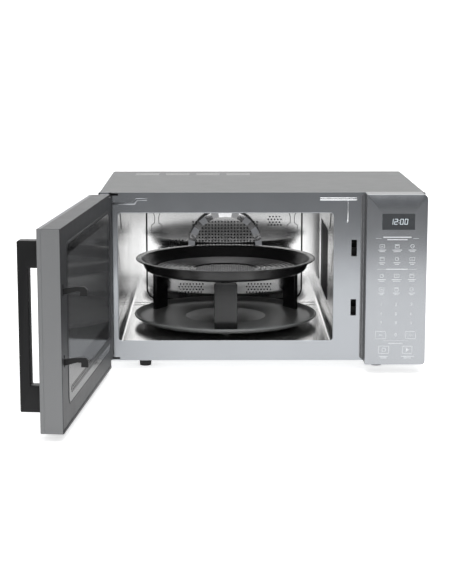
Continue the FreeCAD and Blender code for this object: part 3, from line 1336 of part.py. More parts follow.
def door_screen():
    """The metal screen behind the window, closed at the choke frame's edge."""
    y = SHEET_IN - 10.6
    screen = padded("screen", "XZ_Plane", [rectangle((CHOKE_LEFT, CHOKE_RIGHT), (CHOKE_BOTTOM, CHOKE_TOP))],
                    -y, 0.8)
    node(hung(screen), "door_screen")


def inner_window():
    """The clear inner window, flush with the inner face."""
    pane = padded("inner_pane", "XZ_Plane", [rectangle((S.window_left, WINDOW_RIGHT),
                                                       (S.window_bottom, WINDOW_TOP))],
                  -DOOR_INNER, S.door_wall)
    node(hung(pane), "inner_window")


def door_handle():
    """The D-shaped pull: grip, two posts and blind holes for its screws."""
    low_post, high_post = S.handle_bottom + S.handle_post, HANDLE_TOP - S.handle_post
    side = [
        (DOOR_OUTER, S.handle_bottom), (DOOR_OUTER, low_post), (GRIP_BACK, low_post), (GRIP_BACK, high_post),
        (DOOR_OUTER, high_post), (DOOR_OUTER, HANDLE_TOP), (GRIP_FRONT, HANDLE_TOP),
        (GRIP_FRONT, S.handle_bottom),
    ]
    grip = padded("grip", "YZ_Plane", [side], HANDLE_X - S.handle_width / 2, S.handle_width)
    rounded(grip, 5.0, runs_along("x", lambda p: p.y < GRIP_FRONT.value + 0.01))
    rounded(grip, 3.0, runs_along("z", lambda p: p.y < GRIP_FRONT.value + 0.01))
    wells = [rod("screw_well", "y", 2.0 + S.running_fit, (HANDLE_X, height),
                 (DOOR_OUTER - 12.5, DOOR_OUTER + 1.0))
             for height in handle_screw_heights()]
    node(hung(cut("handle", grip, wells)), "door_handle")


def handle_screws():
    """Two screws from inside the facade into the handle, as separate solids."""
    screws = []
    for height in handle_screw_heights():
        head = rod("handle_screw_head", "y", 4.0, (HANDLE_X, height), (FACADE_BACK, FACADE_BACK + 2.2))
        shank = rod("handle_screw_shank", "y", 2.0, (HANDLE_X, height), (DOOR_OUTER - 12.0, FACADE_BACK))
        screws.append(fuse("handle_screw", [head, shank]))
    node(hung(group("handle_screw_pair", screws)), "handle_screws")


def latch_key():
    """The sliding key inside the door, with a hook at each end."""
    near = SHEET_IN - 11.6
    far = SHEET_IN - 3.4
    foot, head = S.lower_hook - 24.0, UPPER_HOOK + 24.0
    points = [(near, foot), (far, foot)]
    for z in (S.lower_hook, UPPER_HOOK):
        tip = HOOK_TIP
        points += [(far, z - 4.0), (DOOR_INNER + 2.0, z - 4.0), (tip - 16.0, z + 0.5), (tip - 10.0, z + 0.5),
                   (tip - 10.0, z - HOOK_DIP), (tip, z - HOOK_DIP), (tip, z + 3.0),
                   (tip - 4.0, z + HOOK_RISE),
                   (tip - 16.0, z + HOOK_RISE), (DOOR_INNER + 2.0, z + 4.5), (far, z + 4.5)]
    points += [(far, head), (near, head)]
    key = padded("key", "YZ_Plane", [points], HOOK_X - S.hook_thick / 2, S.hook_thick)
    node(hung(key), "latch_key")


def latch_spring():
    """The coil that pushes the latch key down, between its head and the spring seat."""
    low, high = UPPER_HOOK.value + 24.0, UPPER_HOOK.value + 40.0
    wire, radius, turns = 0.5, 3.2, 6
    helix = Part.makeHelix((high - low - 2 * wire) / turns, high - low - 2 * wire, radius)
    profile = Part.Wire(Part.makeCircle(wire, FreeCAD.Vector(radius, 0, 0), FreeCAD.Vector(0, 1, 0)))
    coil = Part.Wire(helix).makePipeShell([profile], True, True)
    coil.translate(FreeCAD.Vector(HOOK_X.value, SHEET_IN.value - 7.5, low + wire))
    spring = DOC.addObject("Part::Feature", "spring")
    spring.Shape = coil
    node(hung(group("spring_set", [spring])), "latch_spring")


def check_and_write():
    """Recomputes, refuses any failed object or bad shape, and writes one STEP file a sub-part."""
    DOC.recompute()
    failed = [thing.Name for thing in DOC.Objects if {"Invalid", "Error"} & set(thing.State)]
    if failed:
        raise RuntimeError(f"failed objects: {failed}")
    os.makedirs("parts", exist_ok=True)
    for part in NODES:
        if part.Shape.isNull() or not part.Shape.isValid() or not part.Shape.Solids:
            raise RuntimeError(f"{part.Label} has no valid solid")
        part.Shape.exportStep(f"parts/{part.Label}.step")
    print(f"{len(NODES)} sub-parts written")


def main():
    """Builds the oven from the outside in, then the door, then writes it."""
    for build in (
        outer_wrap, base_plate, rear_panel, front_plate, feet, cover_screws,
        cavity_shell, cavity_back_wall, waveguide_cover, grill_heater,
        turntable_motor, drive_coupler, roller_ring, roller_wheels, glass_turntable,
        crisp_pan, pan_legs, pan_handle,
        convection_housing, convection_heater, convection_motor, convection_fan_blade, rear_bulge_cover,
        waveguide, magnetron, transformer_core, transformer_windings, hv_capacitor, hv_diode,
        cooling_fan_housing, cooling_fan_motor, cooling_fan_blade, noise_filter_board, cord_gland,
        cavity_lamp, thermal_cutouts,
        control_housing, control_fascia, display_lens, display_module, touch_foil, control_board,
        latch_body, door_switches, switch_plungers, door_hinges,
        door_facade, door_glass, door_body, choke_frame, door_screen, inner_window,
        door_handle, handle_screws, latch_key, latch_spring,
    ):
        build()
    check_and_write()


main()
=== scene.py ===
"""Countertop combination microwave oven with its door open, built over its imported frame."""

from __future__ import annotations

import json
import logging
import math
from dataclasses import dataclass, field
from enum import Enum
from typing import Callable, Iterable, Sequence

import bmesh
import bpy
from mathutils import Matrix, Vector

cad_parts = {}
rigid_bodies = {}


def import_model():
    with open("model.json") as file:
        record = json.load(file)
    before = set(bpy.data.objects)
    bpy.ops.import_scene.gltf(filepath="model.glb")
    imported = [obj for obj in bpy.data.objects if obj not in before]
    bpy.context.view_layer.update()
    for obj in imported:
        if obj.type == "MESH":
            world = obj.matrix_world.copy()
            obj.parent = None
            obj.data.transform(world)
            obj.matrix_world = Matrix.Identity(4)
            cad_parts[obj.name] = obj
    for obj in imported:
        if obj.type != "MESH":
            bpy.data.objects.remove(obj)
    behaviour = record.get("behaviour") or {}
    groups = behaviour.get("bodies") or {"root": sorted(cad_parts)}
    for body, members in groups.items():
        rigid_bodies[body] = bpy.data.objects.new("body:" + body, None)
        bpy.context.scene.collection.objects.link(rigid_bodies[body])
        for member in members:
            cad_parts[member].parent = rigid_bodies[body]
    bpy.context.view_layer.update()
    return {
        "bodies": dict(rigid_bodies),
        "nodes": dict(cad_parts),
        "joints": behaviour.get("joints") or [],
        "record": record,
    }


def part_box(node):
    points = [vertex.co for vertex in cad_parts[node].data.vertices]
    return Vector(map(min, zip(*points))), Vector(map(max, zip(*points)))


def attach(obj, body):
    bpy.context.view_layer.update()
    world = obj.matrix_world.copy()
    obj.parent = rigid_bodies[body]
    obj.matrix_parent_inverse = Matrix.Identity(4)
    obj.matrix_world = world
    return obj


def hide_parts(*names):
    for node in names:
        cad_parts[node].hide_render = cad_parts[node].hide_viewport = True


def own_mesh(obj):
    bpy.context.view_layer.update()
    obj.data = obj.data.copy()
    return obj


LOG = logging.getLogger("oven")
MM = 0.001
Colour = tuple[float, float, float]
Span = tuple[float, float]
Box = tuple[Vector, Vector]
Mesh = bmesh.types.BMesh
Edges = list[bmesh.types.BMEdge]
CREASE_ANGLE = 0.6
SHARP_ANGLE = math.radians(32)


class Body(str, Enum):
    """The rigid bodies that pieces ride on."""

    CABINET = "cabinet"
    DOOR = "door"
    TRAY = "tray"
    PAN = "pan"


class Facing(Enum):
    """How a flat sketch (across, up, out) stands in the oven."""

    FRONT = Matrix(((1, 0, 0, 0), (0, 0, -1, 0), (0, 1, 0, 0), (0, 0, 0, 1)))
    BACK = Matrix(((1, 0, 0, 0), (0, 0, 1, 0), (0, 1, 0, 0), (0, 0, 0, 1)))
    RIGHT = Matrix(((0, 0, 1, 0), (1, 0, 0, 0), (0, 1, 0, 0), (0, 0, 0, 1)))
    UP = Matrix.Identity(4)


class Pictogram(Enum):
    """The plain signs on the function keys."""

    TRAY = 0
    JAR = 1
    DIAL = 2


# ------------------------------------------------------------------ shader maths


class Value:
    """A shader value whose arithmetic adds Math nodes."""

    def __init__(self, shade: Shade, socket: bpy.types.NodeSocket) -> None:
        """Wraps a socket of a material under construction."""
        self.shade = shade
        self.socket = socket

    def math(self, operation: str, other: Value | float | None = None, flipped: bool = False) -> Value:
        """Adds one Math node.

        Args:
            operation: the Math node's operation.
            other: the second operand, if the operation has one.
            flipped: whether the second operand goes first.

        Returns:
            The node's result.
        """
        operands = [self] if other is None else [self, other]
        if flipped:
            operands.reverse()
        plain = [item.socket if isinstance(item, Value) else item for item in operands]
        node = self.shade.add("ShaderNodeMath", {"operation": operation}, dict(enumerate(plain)))
        return Value(self.shade, node.outputs[0])

    def __add__(self, other: Value | float) -> Value:
        """Sum."""
        return self.math("ADD", other)

    def __radd__(self, other: float) -> Value:
        """Reflected sum."""
        return self.math("ADD", other, True)

    def __sub__(self, other: Value | float) -> Value:
        """Difference."""
        return self.math("SUBTRACT", other)

    def __rsub__(self, other: float) -> Value:
        """Reflected difference."""
        return self.math("SUBTRACT", other, True)

    def __mul__(self, other: Value | float) -> Value:
        """Product."""
        return self.math("MULTIPLY", other)

    def __rmul__(self, other: float) -> Value:
        """Reflected product."""
        return self.math("MULTIPLY", other, True)

    def __truediv__(self, other: Value | float) -> Value:
        """Quotient."""
        return self.math("DIVIDE", other)

    def __rtruediv__(self, other: float) -> Value:
        """Reflected quotient."""
        return self.math("DIVIDE", other, True)

    def __pow__(self, other: Value | float) -> Value:
        """Power."""
        return self.math("POWER", other)

    def eased(self, low: float, high: float) -> Value:
        """A smooth step from 0 at low to 1 at high.

        Args:
            low: where the step starts.
            high: where it ends.

        Returns:
            The step's value.
        """
        node = self.shade.add(
            "ShaderNodeMapRange",
            {"interpolation_type": "SMOOTHSTEP"},
            {"Value": self.socket, "From Min": low, "From Max": high, "To Min": 0.0, "To Max": 1.0},
        )
        return Value(self.shade, node.outputs[0])


class Shade:
    """One node material under construction."""

    def __init__(self, name: str) -> None:
        """Starts an empty node tree.

        Args:
            name: the material's name.
        """
        self.material = bpy.data.materials.new(name)
        self.material.use_nodes = True
        self.tree = self.material.node_tree
        self.tree.nodes.clear()

    def add(self, kind: str, settings: dict | None = None, values: dict | None = None) -> bpy.types.Node:
        """Makes any node.

        Args:
            kind: the node's type.
            settings: its settings, set first; "stops" holds a ramp's (place, colour) pairs.
            values: numbers, colours or links for its inputs, by name or index.

        Returns:
            The new node.
        """
        node = self.tree.nodes.new(kind)
        for key, setting in (settings or {}).items():
            if key == "stops":
                ramp = node.color_ramp
                for index, (place, colour) in enumerate(setting):
                    stop = ramp.elements[index] if index < 2 else ramp.elements.new(place)
                    stop.position = place
                    stop.color = (*colour, 1.0)
            else:
                setattr(node, key, setting)
        for key, value in (values or {}).items():
            if isinstance(value, Value):
                value = value.socket
            if isinstance(value, bpy.types.NodeSocket):
                self.tree.links.new(value, node.inputs[key])
            else:
                node.inputs[key].default_value = value
        return node

    def place(self, stretch: Colour = (1, 1, 1), turn: float = 0.0,
              shift: Colour = (0, 0, 0)) -> bpy.types.NodeSocket:
        """Object coordinates, stretched, turned about the upright axis and shifted.

        Args:
            stretch: the factor along each axis.
            turn: the angle about the upright axis.
            shift: the move along each axis.

        Returns:
            The vector's socket.
        """
        coordinates = self.add("ShaderNodeTexCoord").outputs["Object"]
        mapping = self.add(
            "ShaderNodeMapping",
            None,
            {"Vector": coordinates, "Location": shift, "Rotation": (0, 0, turn), "Scale": stretch},
        )
        return mapping.outputs[0]

    def noise(self, scale: float, detail: float = 3.0, vector: bpy.types.NodeSocket | None = None) -> Value:
        """A noise value between 0 and 1.

        Args:
            scale: how fine the noise is.
            detail: how many finer layers it has.
            vector: where to read it; object coordinates without one.

        Returns:
            The noise.
        """
        node = self.add(
            "ShaderNodeTexNoise",
            None,
            {"Vector": vector or self.place(), "Scale": scale, "Detail": detail, "Roughness": 0.6},
        )
        return Value(self, node.outputs[0])

    def axis(self, index: int, vector: bpy.types.NodeSocket | None = None) -> Value:
        """One component of the object coordinates."""
        node = self.add("ShaderNodeSeparateXYZ", None, {0: vector or self.place()})
        return Value(self, node.outputs[index])

    def blend(self, factor: Value, first: Colour, second: Colour) -> bpy.types.NodeSocket:
        """A colour between two colours.

        Args:
            factor: 0 for the first colour, 1 for the second.
            first: the first colour.
            second: the second colour.

        Returns:
            The colour's socket.
        """
        node = self.add(
            "ShaderNodeMix",
            {"data_type": "RGBA"},
            {0: factor, 6: (*first, 1.0), 7: (*second, 1.0)},
        )
        return node.outputs[2]

    def bump(self, height: Value, depth: float, strength: float = 1.0) -> bpy.types.NodeSocket:
        """A Bump node's normal."""
        node = self.add("ShaderNodeBump", None, {"Height": height, "Distance": depth, "Strength": strength})
        return node.outputs[0]

    def finish(self, values: dict) -> bpy.types.Material:
        """Closes the material with a Principled shader.

        Args:
            values: numbers, colours or links for the shader's inputs.

        Returns:
            The material.
        """
        shader = self.add("ShaderNodeBsdfPrincipled", None, values)
        self.add("ShaderNodeOutputMaterial", None, {"Surface": shader.outputs[0]})
        return self.material


# ------------------------------------------------------------------ finishes


@dataclass(frozen=True)
class Finish:
    """What every finish shares: a name, a colour and its gloss."""

    name: str
    colour: Colour
    roughness: float = 0.4

    def made(self) -> bpy.types.Material:
        """The finish's material, built once and kept apart from the frame's own materials."""
        name = f"{self.name}_finish"
        return bpy.data.materials.get(name) or self.build(Shade(name))

    def build(self, shade: Shade) -> bpy.types.Material:
        """Builds the node tree; each kind of finish has its own."""
        raise NotImplementedError

    def deeper(self, share: float) -> Colour:
        """The finish's colour, darkened."""
        return tuple(channel * share for channel in self.colour)


@dataclass(frozen=True)
class Lacquer(Finish):
    """Metallic or plain paint with faint orange peel, flake and handling marks."""

    metallic: float = 0.7
    coat: float = 0.3
    shine: float = 0.5
    peel: float = 0.00002

    def build(self, shade: Shade) -> bpy.types.Material:
        """Flake in the colour, peel in the bump, smears in the gloss.

        Args:
            shade: the empty node tree.

        Returns:
            The material.
        """
        flake = shade.noise(2600.0, 1.0)
        cloud = shade.noise(9.0, 3.0)
        smear = shade.noise(38.0, 4.0)
        tone = flake * 0.5 + cloud * 0.5
        return shade.finish({
            "Base Color": shade.blend(tone, self.deeper(0.86), self.colour),
            "Roughness": smear * 0.09 + flake * 0.04 + (self.roughness - 0.06),
            "Metallic": self.metallic,
            "Coat Weight": self.coat,
            "Coat Roughness": 0.12,
            "Specular IOR Level": self.shine,
            "Normal": shade.bump(shade.noise(420.0, 2.0), self.peel),
        })


@dataclass(frozen=True)
class BrushedSheet(Finish):
    """Rolled bright steel with fine grain lines along one axis, smears and faint waves."""

    stretch: Colour = (4.0, 900.0, 900.0)
    grain: float = 0.000012

    def build(self, shade: Shade) -> bpy.types.Material:
        """Grain lines in the bump and gloss, clouds in the colour.

        Args:
            shade: the empty node tree.

        Returns:
            The material.
        """
        lines = shade.noise(1.0, 2.0, shade.place(self.stretch))
        cloud = shade.noise(6.0, 3.0)
        wave = shade.noise(11.0, 1.0)
        return shade.finish({
            "Base Color": shade.blend(lines * 0.45 + cloud * 0.55, self.deeper(0.84), self.colour),
            "Roughness": lines * 0.08 + cloud * 0.07 + (self.roughness - 0.07),
            "Metallic": 1.0,
            "Normal": shade.bump(lines * 0.2 + wave * 4.0, self.grain * 4.0),
        })


@dataclass(frozen=True)
class Polished(Finish):
    """Polished plate with hairline marks."""

    def build(self, shade: Shade) -> bpy.types.Material:
        """Hairlines in the gloss and a very faint wave.

        Args:
            shade: the empty node tree.

        Returns:
            The material.
        """
        hair = shade.noise(1.0, 2.0, shade.place((1400.0, 60.0, 60.0)))
        cloud = shade.noise(45.0, 3.0)
        return shade.finish({
            "Base Color": shade.blend(cloud, self.deeper(0.92), self.colour),
            "Roughness": hair * 0.05 + cloud * 0.03 + self.roughness,
            "Metallic": 1.0,
            "Normal": shade.bump(cloud + hair * 0.2, 0.00004),
        })


@dataclass(frozen=True)
class Moulding(Finish):
    """Moulded plastic with spark-eroded grain and slight shade changes."""

    grain: float = 0.00006
    grain_scale: float = 900.0
    coat: float = 0.0
    shine: float = 0.4

    def build(self, shade: Shade) -> bpy.types.Material:
        """Grain in the bump, clouds in the colour and gloss.

        Args:
            shade: the empty node tree.

        Returns:
            The material.
        """
        grain = shade.noise(self.grain_scale, 2.0)
        cloud = shade.noise(14.0, 4.0)
        return shade.finish({
            "Base Color": shade.blend(cloud * 0.7 + grain * 0.3, self.deeper(0.8), self.colour),
            "Roughness": cloud * 0.12 + grain * 0.06 + (self.roughness - 0.09),
            "Coat Weight": self.coat,
            "Specular IOR Level": self.shine,
            "Normal": shade.bump(grain, self.grain),
        })


@dataclass(frozen=True)
class TrayGlass(Finish):
    """Thick pressed glass, grey partly by its depth and partly as a painted reflection of the dark pan above
    it, with a slightly uneven surface.
    """

    clear: float = 0.22

    def build(self, shade: Shade) -> bpy.types.Material:
        """Smudges in the gloss and pressing waves in the surface.

        Args:
            shade: the empty node tree.

        Returns:
            The material.
        """
        smudge = shade.noise(26.0, 5.0)
        return shade.finish({
            "Base Color": shade.blend(smudge, self.deeper(0.88), self.colour),
            "Roughness": smudge * 0.08 + self.roughness,
            "IOR": 1.5,
            "Transmission Weight": self.clear,
            "Normal": shade.bump(shade.noise(21.0, 2.0), 0.0002),
        })


@dataclass(frozen=True)
class SmokedPane(Finish):
    """Dark tinted pane with a dot screen behind it and smudges on it."""

    pitch: float = 0.0016
    turn: float = 0.0
    shine: float = 0.14

    def build(self, shade: Shade) -> bpy.types.Material:
        """A dot screen under the gloss.

        Args:
            shade: the empty node tree.

        Returns:
            The material.
        """
        flat = shade.place((1 / self.pitch, 1 / self.pitch, 1 / self.pitch), self.turn)
        across = shade.axis(0, flat).math("FRACT") - 0.5
        up = shade.axis(2, flat).math("FRACT") - 0.5
        dot = (across * across + up * up).eased(0.06, 0.11)
        smudge = shade.noise(24.0, 5.0)
        return shade.finish({
            "Base Color": shade.blend(dot, self.deeper(0.45), self.colour),
            "Roughness": smudge * 0.06 + self.roughness,
            "Specular IOR Level": self.shine,
            "Normal": shade.bump(shade.noise(14.0, 1.0), 0.00008),
        })


@dataclass(frozen=True)
class MeshWindow(Finish):
    """A pane over a perforated sheet: a fine comb for the sheet, and soft wavy bands for the sheet beating
    with its own painted reflection.
    """

    turn: float = 0.0
    band: float = 17.0
    shine: float = 0.14

    def build(self, shade: Shade) -> bpy.types.Material:
        """Painted reflection as wavy bands, and a fine comb, in the colour.

        Args:
            shade: the empty node tree.

        Returns:
            The material.
        """
        flat = shade.place((1, 1, 1), self.turn)
        # Painted reflection: the bands stand for the screen beating with its reflection in the glossy pane.
        wave = shade.add(
            "ShaderNodeTexWave",
            {"wave_type": "BANDS", "bands_direction": "X"},
            {"Vector": flat, "Scale": self.band, "Distortion": 3.4, "Detail": 1.0, "Detail Scale": 1.6},
        )
        bands = Value(shade, wave.outputs["Fac"])
        fine = shade.axis(0, flat) * 520.0
        comb = (fine.math("FRACT") - 0.5).math("ABSOLUTE") * 2.0
        tone = bands * 0.75 + comb * 0.25
        return shade.finish({
            "Base Color": shade.blend(tone, self.deeper(0.62), self.colour),
            "Roughness": shade.noise(24.0, 5.0) * 0.06 + self.roughness,
            "Specular IOR Level": self.shine,
            "Normal": shade.bump(shade.noise(14.0, 1.0), 0.00006),
        })


@dataclass(frozen=True)
class PanCoating(Finish):
    """Dark non-stick coating with fine speckle."""

    def build(self, shade: Shade) -> bpy.types.Material:
        """Speckle in the bump and colour, clouds in the gloss.

        Args:
            shade: the empty node tree.

        Returns:
            The material.
        """
        speck = shade.noise(1500.0, 1.0)
        cloud = shade.noise(20.0, 4.0)
        return shade.finish({
            "Base Color": shade.blend(speck * 0.35 + cloud * 0.65, self.deeper(0.7), self.colour),
            "Roughness": cloud * 0.12 + speck * 0.06 + (self.roughness - 0.09),
            "Specular IOR Level": 0.55,
            "Normal": shade.bump(speck, 0.00003),
        })


@dataclass(frozen=True)
class Lamp(Finish):
    """A lit surface with slightly uneven light."""

    strength: float = 2.0

    def build(self, shade: Shade) -> bpy.types.Material:
        """Emission that varies a little over the surface.

        Args:
            shade: the empty node tree.

        Returns:
            The material.
        """
        uneven = shade.noise(320.0, 1.0)
        return shade.finish({
            "Base Color": shade.blend(uneven, self.deeper(0.9), self.colour),
            "Roughness": uneven * 0.1 + self.roughness,
            "Emission Color": shade.blend(uneven, self.deeper(0.9), self.colour),
            "Emission Strength": self.strength,
        })


# ------------------------------------------------------------------ palette


@dataclass(frozen=True)
class Palette:
    """Every finish on the oven."""

    case: Lacquer = Lacquer("case_enamel", (0.15, 0.152, 0.15), 0.5, 0.15, 0.0, 0.25)
    front: Lacquer = Lacquer("front_enamel", (0.4, 0.415, 0.435), 0.15, 0.95, 0.0)
    panel: Lacquer = Lacquer("panel_lacquer", (0.4, 0.412, 0.43), 0.15, 0.93, 0.0)
    panel_side: Lacquer = Lacquer("panel_side_lacquer", (0.16, 0.163, 0.168), 0.4, 0.6, 0.1)
    door_frame: Lacquer = Lacquer("door_frame_enamel", (0.045, 0.046, 0.048), 0.4, 0.1, 0.0, 0.1)
    door_edge: Lacquer = Lacquer("door_edge_enamel", (0.25, 0.253, 0.256), 0.5, 0.1, 0.0, 0.25)
    # Painted shade: a darker copy of the door edge paint, for the door's top.
    door_top: Lacquer = Lacquer("door_top_shaded_enamel", (0.11, 0.112, 0.113), 0.5, 0.15, 0.0, 0.2)
    cavity: BrushedSheet = BrushedSheet("cavity_sheet", (0.7, 0.695, 0.69), 0.18, (700.0, 5.0, 700.0),
                                        0.000008)
    back_wall: BrushedSheet = BrushedSheet("back_wall_sheet", (0.86, 0.86, 0.855), 0.12, (6.0, 700.0, 700.0),
                                           0.000006)
    zinc: BrushedSheet = BrushedSheet("zinc_sheet", (0.52, 0.53, 0.54), 0.42, (60.0, 60.0, 60.0))
    shade_tin: BrushedSheet = BrushedSheet("shaded_tin", (0.06, 0.06, 0.062), 0.5, (60.0, 60.0, 60.0))
    element: BrushedSheet = BrushedSheet("heat_tinted_tube", (0.12, 0.11, 0.105), 0.45, (300.0, 300.0, 300.0))
    hoop: Polished = Polished("hoop_chrome", (0.86, 0.86, 0.87), 0.03)
    # Painted highlight: pale marks for light caught on ribs and edges.
    bright: Polished = Polished("painted_highlight_edge", (0.9, 0.91, 0.92), 0.2)
    # Painted shade in pressed grooves and round raised steps, and the colour of the dark joint on the door's
    # end.
    dark_joint_and_painted_shade: Polished = Polished("shaded_crease", (0.11, 0.11, 0.112), 0.22)
    # Painted highlight: a pale line for the light caught along the pan's rim.
    painted_rim_highlight: Polished = Polished("painted_rim_highlight", (0.3, 0.3, 0.3), 0.25)
    black: Moulding = Moulding("black_moulding", (0.012, 0.012, 0.0125), 0.45, shine=0.3)
    handle: Moulding = Moulding("handle_moulding", (0.009, 0.009, 0.0095), 0.42, 0.00004, 1100.0, 0.0, 0.25)
    rubber: Moulding = Moulding("foot_rubber", (0.02, 0.02, 0.02), 0.75, 0.00012, 500.0)
    # Pale plastic for the cooling fan blade, and painted light in the top air slots.
    white: Moulding = Moulding("pale_plastic_and_painted_light", (0.62, 0.62, 0.6), 0.45)
    roller: Moulding = Moulding("roller_plastic", (0.4, 0.4, 0.4), 0.45)
    mica: Moulding = Moulding("mica_board", (0.02, 0.02, 0.021), 0.5, 0.0001, 260.0)
    copper: Moulding = Moulding("winding_wire", (0.45, 0.18, 0.06), 0.35, 0.0003, 300.0, 0.4)
    core: Moulding = Moulding("laminated_core", (0.12, 0.12, 0.12), 0.5, 0.0002, 300.0)
    board: Moulding = Moulding("circuit_board", (0.03, 0.16, 0.08), 0.4, 0.0001, 400.0, 0.3)
    # Partly painted reflection: the grey stands in for the dark pan mirrored in the tray.
    glass: TrayGlass = TrayGlass("tray_glass", (0.27, 0.276, 0.275), 0.3)
    coating: PanCoating = PanCoating("pan_coating", (0.01, 0.01, 0.0105), 0.24)
    # Painted highlight: a lighter coating on the ridge crests and knobs, for the light they catch.
    crests: PanCoating = PanCoating("ridge_highlight_coating", (0.14, 0.14, 0.143), 0.2)
    lens: SmokedPane = SmokedPane("display_lens", (0.07, 0.074, 0.079), 0.25, 0.0007)
    print: Moulding = Moulding("key_print", (0.85, 0.87, 0.89), 0.5, 0.00002, 1500.0)
    digits: Lamp = Lamp("lit_digits", (0.7, 0.76, 0.8), 0.4, 0.5)
    strip: Moulding = Moulding("dark_strip", (0.008, 0.008, 0.009), 0.35, 0.00004, 900.0, 0.0, 0.3)


PALETTE = Palette()


# ------------------------------------------------------------------ mesh making
# Sizes are in millimetres from here on, and the helpers below turn them into metres.


def sized(corners: Box) -> Box:
    """Two corners in millimetres."""
    return corners[0] / MM, corners[1] / MM


def shifted(x: float = 0.0, y: float = 0.0, z: float = 0.0) -> Matrix:
    """A move."""
    return Matrix.Translation(Vector((x, y, z)) * MM)


def on_circle(radius: float, angle: float, height: float = 0.0) -> Vector:
    """A point on a level circle about the upright axis."""
    return Vector((radius * math.cos(angle), radius * math.sin(angle), height))


def circle(radius: float, height: float, steps: int = 96) -> list[Vector]:
    """The points of a level circle about the upright axis."""
    return [on_circle(radius, math.tau * step / steps, height) for step in range(steps)]


def bevelled(mesh: Mesh, edges: Iterable[bmesh.types.BMEdge], offset: float, segments: int = 3) -> None:
    """Rounds edges.

    Args:
        mesh: the mesh that holds them.
        edges: the edges, possibly none.
        offset: how far the rounding reaches from each edge.
        segments: how many flats it has.
    """
    chosen = list(edges)
    if chosen:
        bmesh.ops.bevel(mesh, geom=chosen, offset=offset * MM, segments=segments, profile=0.5, affect="EDGES",
                        material=-1, clamp_overlap=True)


def creased(mesh: Mesh, test: Callable[[Vector], bool] | None = None) -> Edges:
    """The edges where faces meet at an angle, near the places that the test picks.

    Args:
        mesh: the mesh to search.
        test: takes an edge's middle; every crease passes without one.

    Returns:
        The edges found.
    """
    found = []
    for edge in mesh.edges:
        if len(edge.link_faces) == 2 and edge.calc_face_angle(0.0) > CREASE_ANGLE:
            middle = (edge.verts[0].co + edge.verts[1].co) / 2 / MM
            if test is None or test(middle):
                found.append(edge)
    return found


def block(low: Sequence[float], high: Sequence[float], radius: float = 0.0, segments: int = 2) -> Mesh:
    """A box between two corners.

    Args:
        low: its lower corner.
        high: its upper corner.
        radius: the rounding of its edges, if any.
        segments: how many flats the rounding has.

    Returns:
        The box.
    """
    mesh = bmesh.new()
    bmesh.ops.create_cube(mesh, size=1.0)
    low, high = Vector(low) * MM, Vector(high) * MM
    bmesh.ops.scale(mesh, vec=high - low, verts=mesh.verts)
    bmesh.ops.translate(mesh, vec=(low + high) / 2, verts=mesh.verts)
    if radius:
        bevelled(mesh, mesh.edges[:], radius, segments)
    return mesh


def cone(radii: Span, depth: float, place: Matrix, segments: int) -> Mesh:
    """A capped, tapered pin.

    Args:
        radii: its lower and upper radius.
        depth: its length.
        place: where its middle lies.
        segments: how many sides it has.

    Returns:
        The pin.
    """
    mesh = bmesh.new()
    bmesh.ops.create_cone(mesh, cap_ends=True, segments=segments, radius1=radii[0] * MM,
                          radius2=radii[1] * MM, depth=depth * MM, matrix=place)
    return mesh


def turned(profile: Sequence[Span], steps: int = 96) -> Mesh:
    """A shape turned about the upright axis.

    Args:
        profile: its (radius, height) points.
        steps: how many sides it has.

    Returns:
        The closed shape.
    """
    mesh = bmesh.new()
    points = [mesh.verts.new((radius * MM, 0.0, height * MM)) for radius, height in profile]
    edges = [mesh.edges.new(pair) for pair in zip(points, points[1:])]
    bmesh.ops.spin(mesh, geom=points + edges, cent=(0, 0, 0), axis=(0, 0, 1), dvec=(0, 0, 0), angle=math.tau,
                   steps=steps, use_merge=True, use_duplicate=False)
    bmesh.ops.remove_doubles(mesh, verts=mesh.verts, dist=1e-6)
    return mesh


def looped(mesh: Mesh, points: Iterable[Sequence[float]]) -> Edges:
    """Closes a row of points, already in metres, into a loop of edges."""
    verts = [mesh.verts.new(point) for point in points]
    return [mesh.edges.new((verts[i - 1], verts[i])) for i in range(len(verts))]


def outline(mesh: Mesh, across: Span, up: Span, radii: float | Sequence[float] = 0.0) -> Edges:
    """A flat rounded rectangle as a loop of edges.

    Args:
        mesh: where to add it.
        across: its left and right.
        up: its bottom and top.
        radii: one corner radius, or four from bottom left, counter-clockwise.

    Returns:
        The loop's edges.
    """
    if isinstance(radii, float):
        radii = (radii,) * 4
    corners = [(u * MM, v * MM, 0.0) for u, v in ((across[0], up[0]), (across[1], up[0]), (across[1], up[1]),
                                                  (across[0], up[1]))]
    scratch = bmesh.new()
    scratch.faces.new([scratch.verts.new(corner) for corner in corners])
    for radius, corner in zip(radii, corners):
        if radius > 0:
            nearest = min(scratch.verts, key=lambda item: (item.co - Vector(corner)).length)
            bmesh.ops.bevel(scratch, geom=[nearest], offset=radius * MM, segments=6, profile=0.5,
                            affect="VERTICES", material=-1)
    edges = looped(mesh, [vertex.co for vertex in scratch.faces[:][0].verts])
    scratch.free()
    return edges


def plate(edges_of: Callable[[Mesh], Edges], thickness: float) -> Mesh:
    """A plate filled between loops, with holes where inner loops lie, raised by its thickness.

    Args:
        edges_of: draws the loops into a mesh and returns their edges.
        thickness: how far the plate stands out of its sketch plane.

    Returns:
        The closed plate, its sketch plane at height 0.
    """
    mesh = bmesh.new()
    edges = edges_of(mesh)
    bmesh.ops.triangle_fill(mesh, use_beauty=True, use_dissolve=False, edges=edges, normal=(0, 0, 1))
    raised = bmesh.ops.extrude_face_region(mesh, geom=mesh.faces[:])
    moved = [item for item in raised["geom"] if isinstance(item, bmesh.types.BMVert)]
    bmesh.ops.translate(mesh, vec=(0, 0, thickness * MM), verts=moved)
    bmesh.ops.recalc_face_normals(mesh, faces=mesh.faces)
    return mesh


def prism(points: Sequence[Span], thickness: float) -> Mesh:
    """A plate with a straight-edged outline."""
    return plate(lambda mesh: looped(mesh, [(u * MM, v * MM, 0.0) for u, v in points]), thickness)


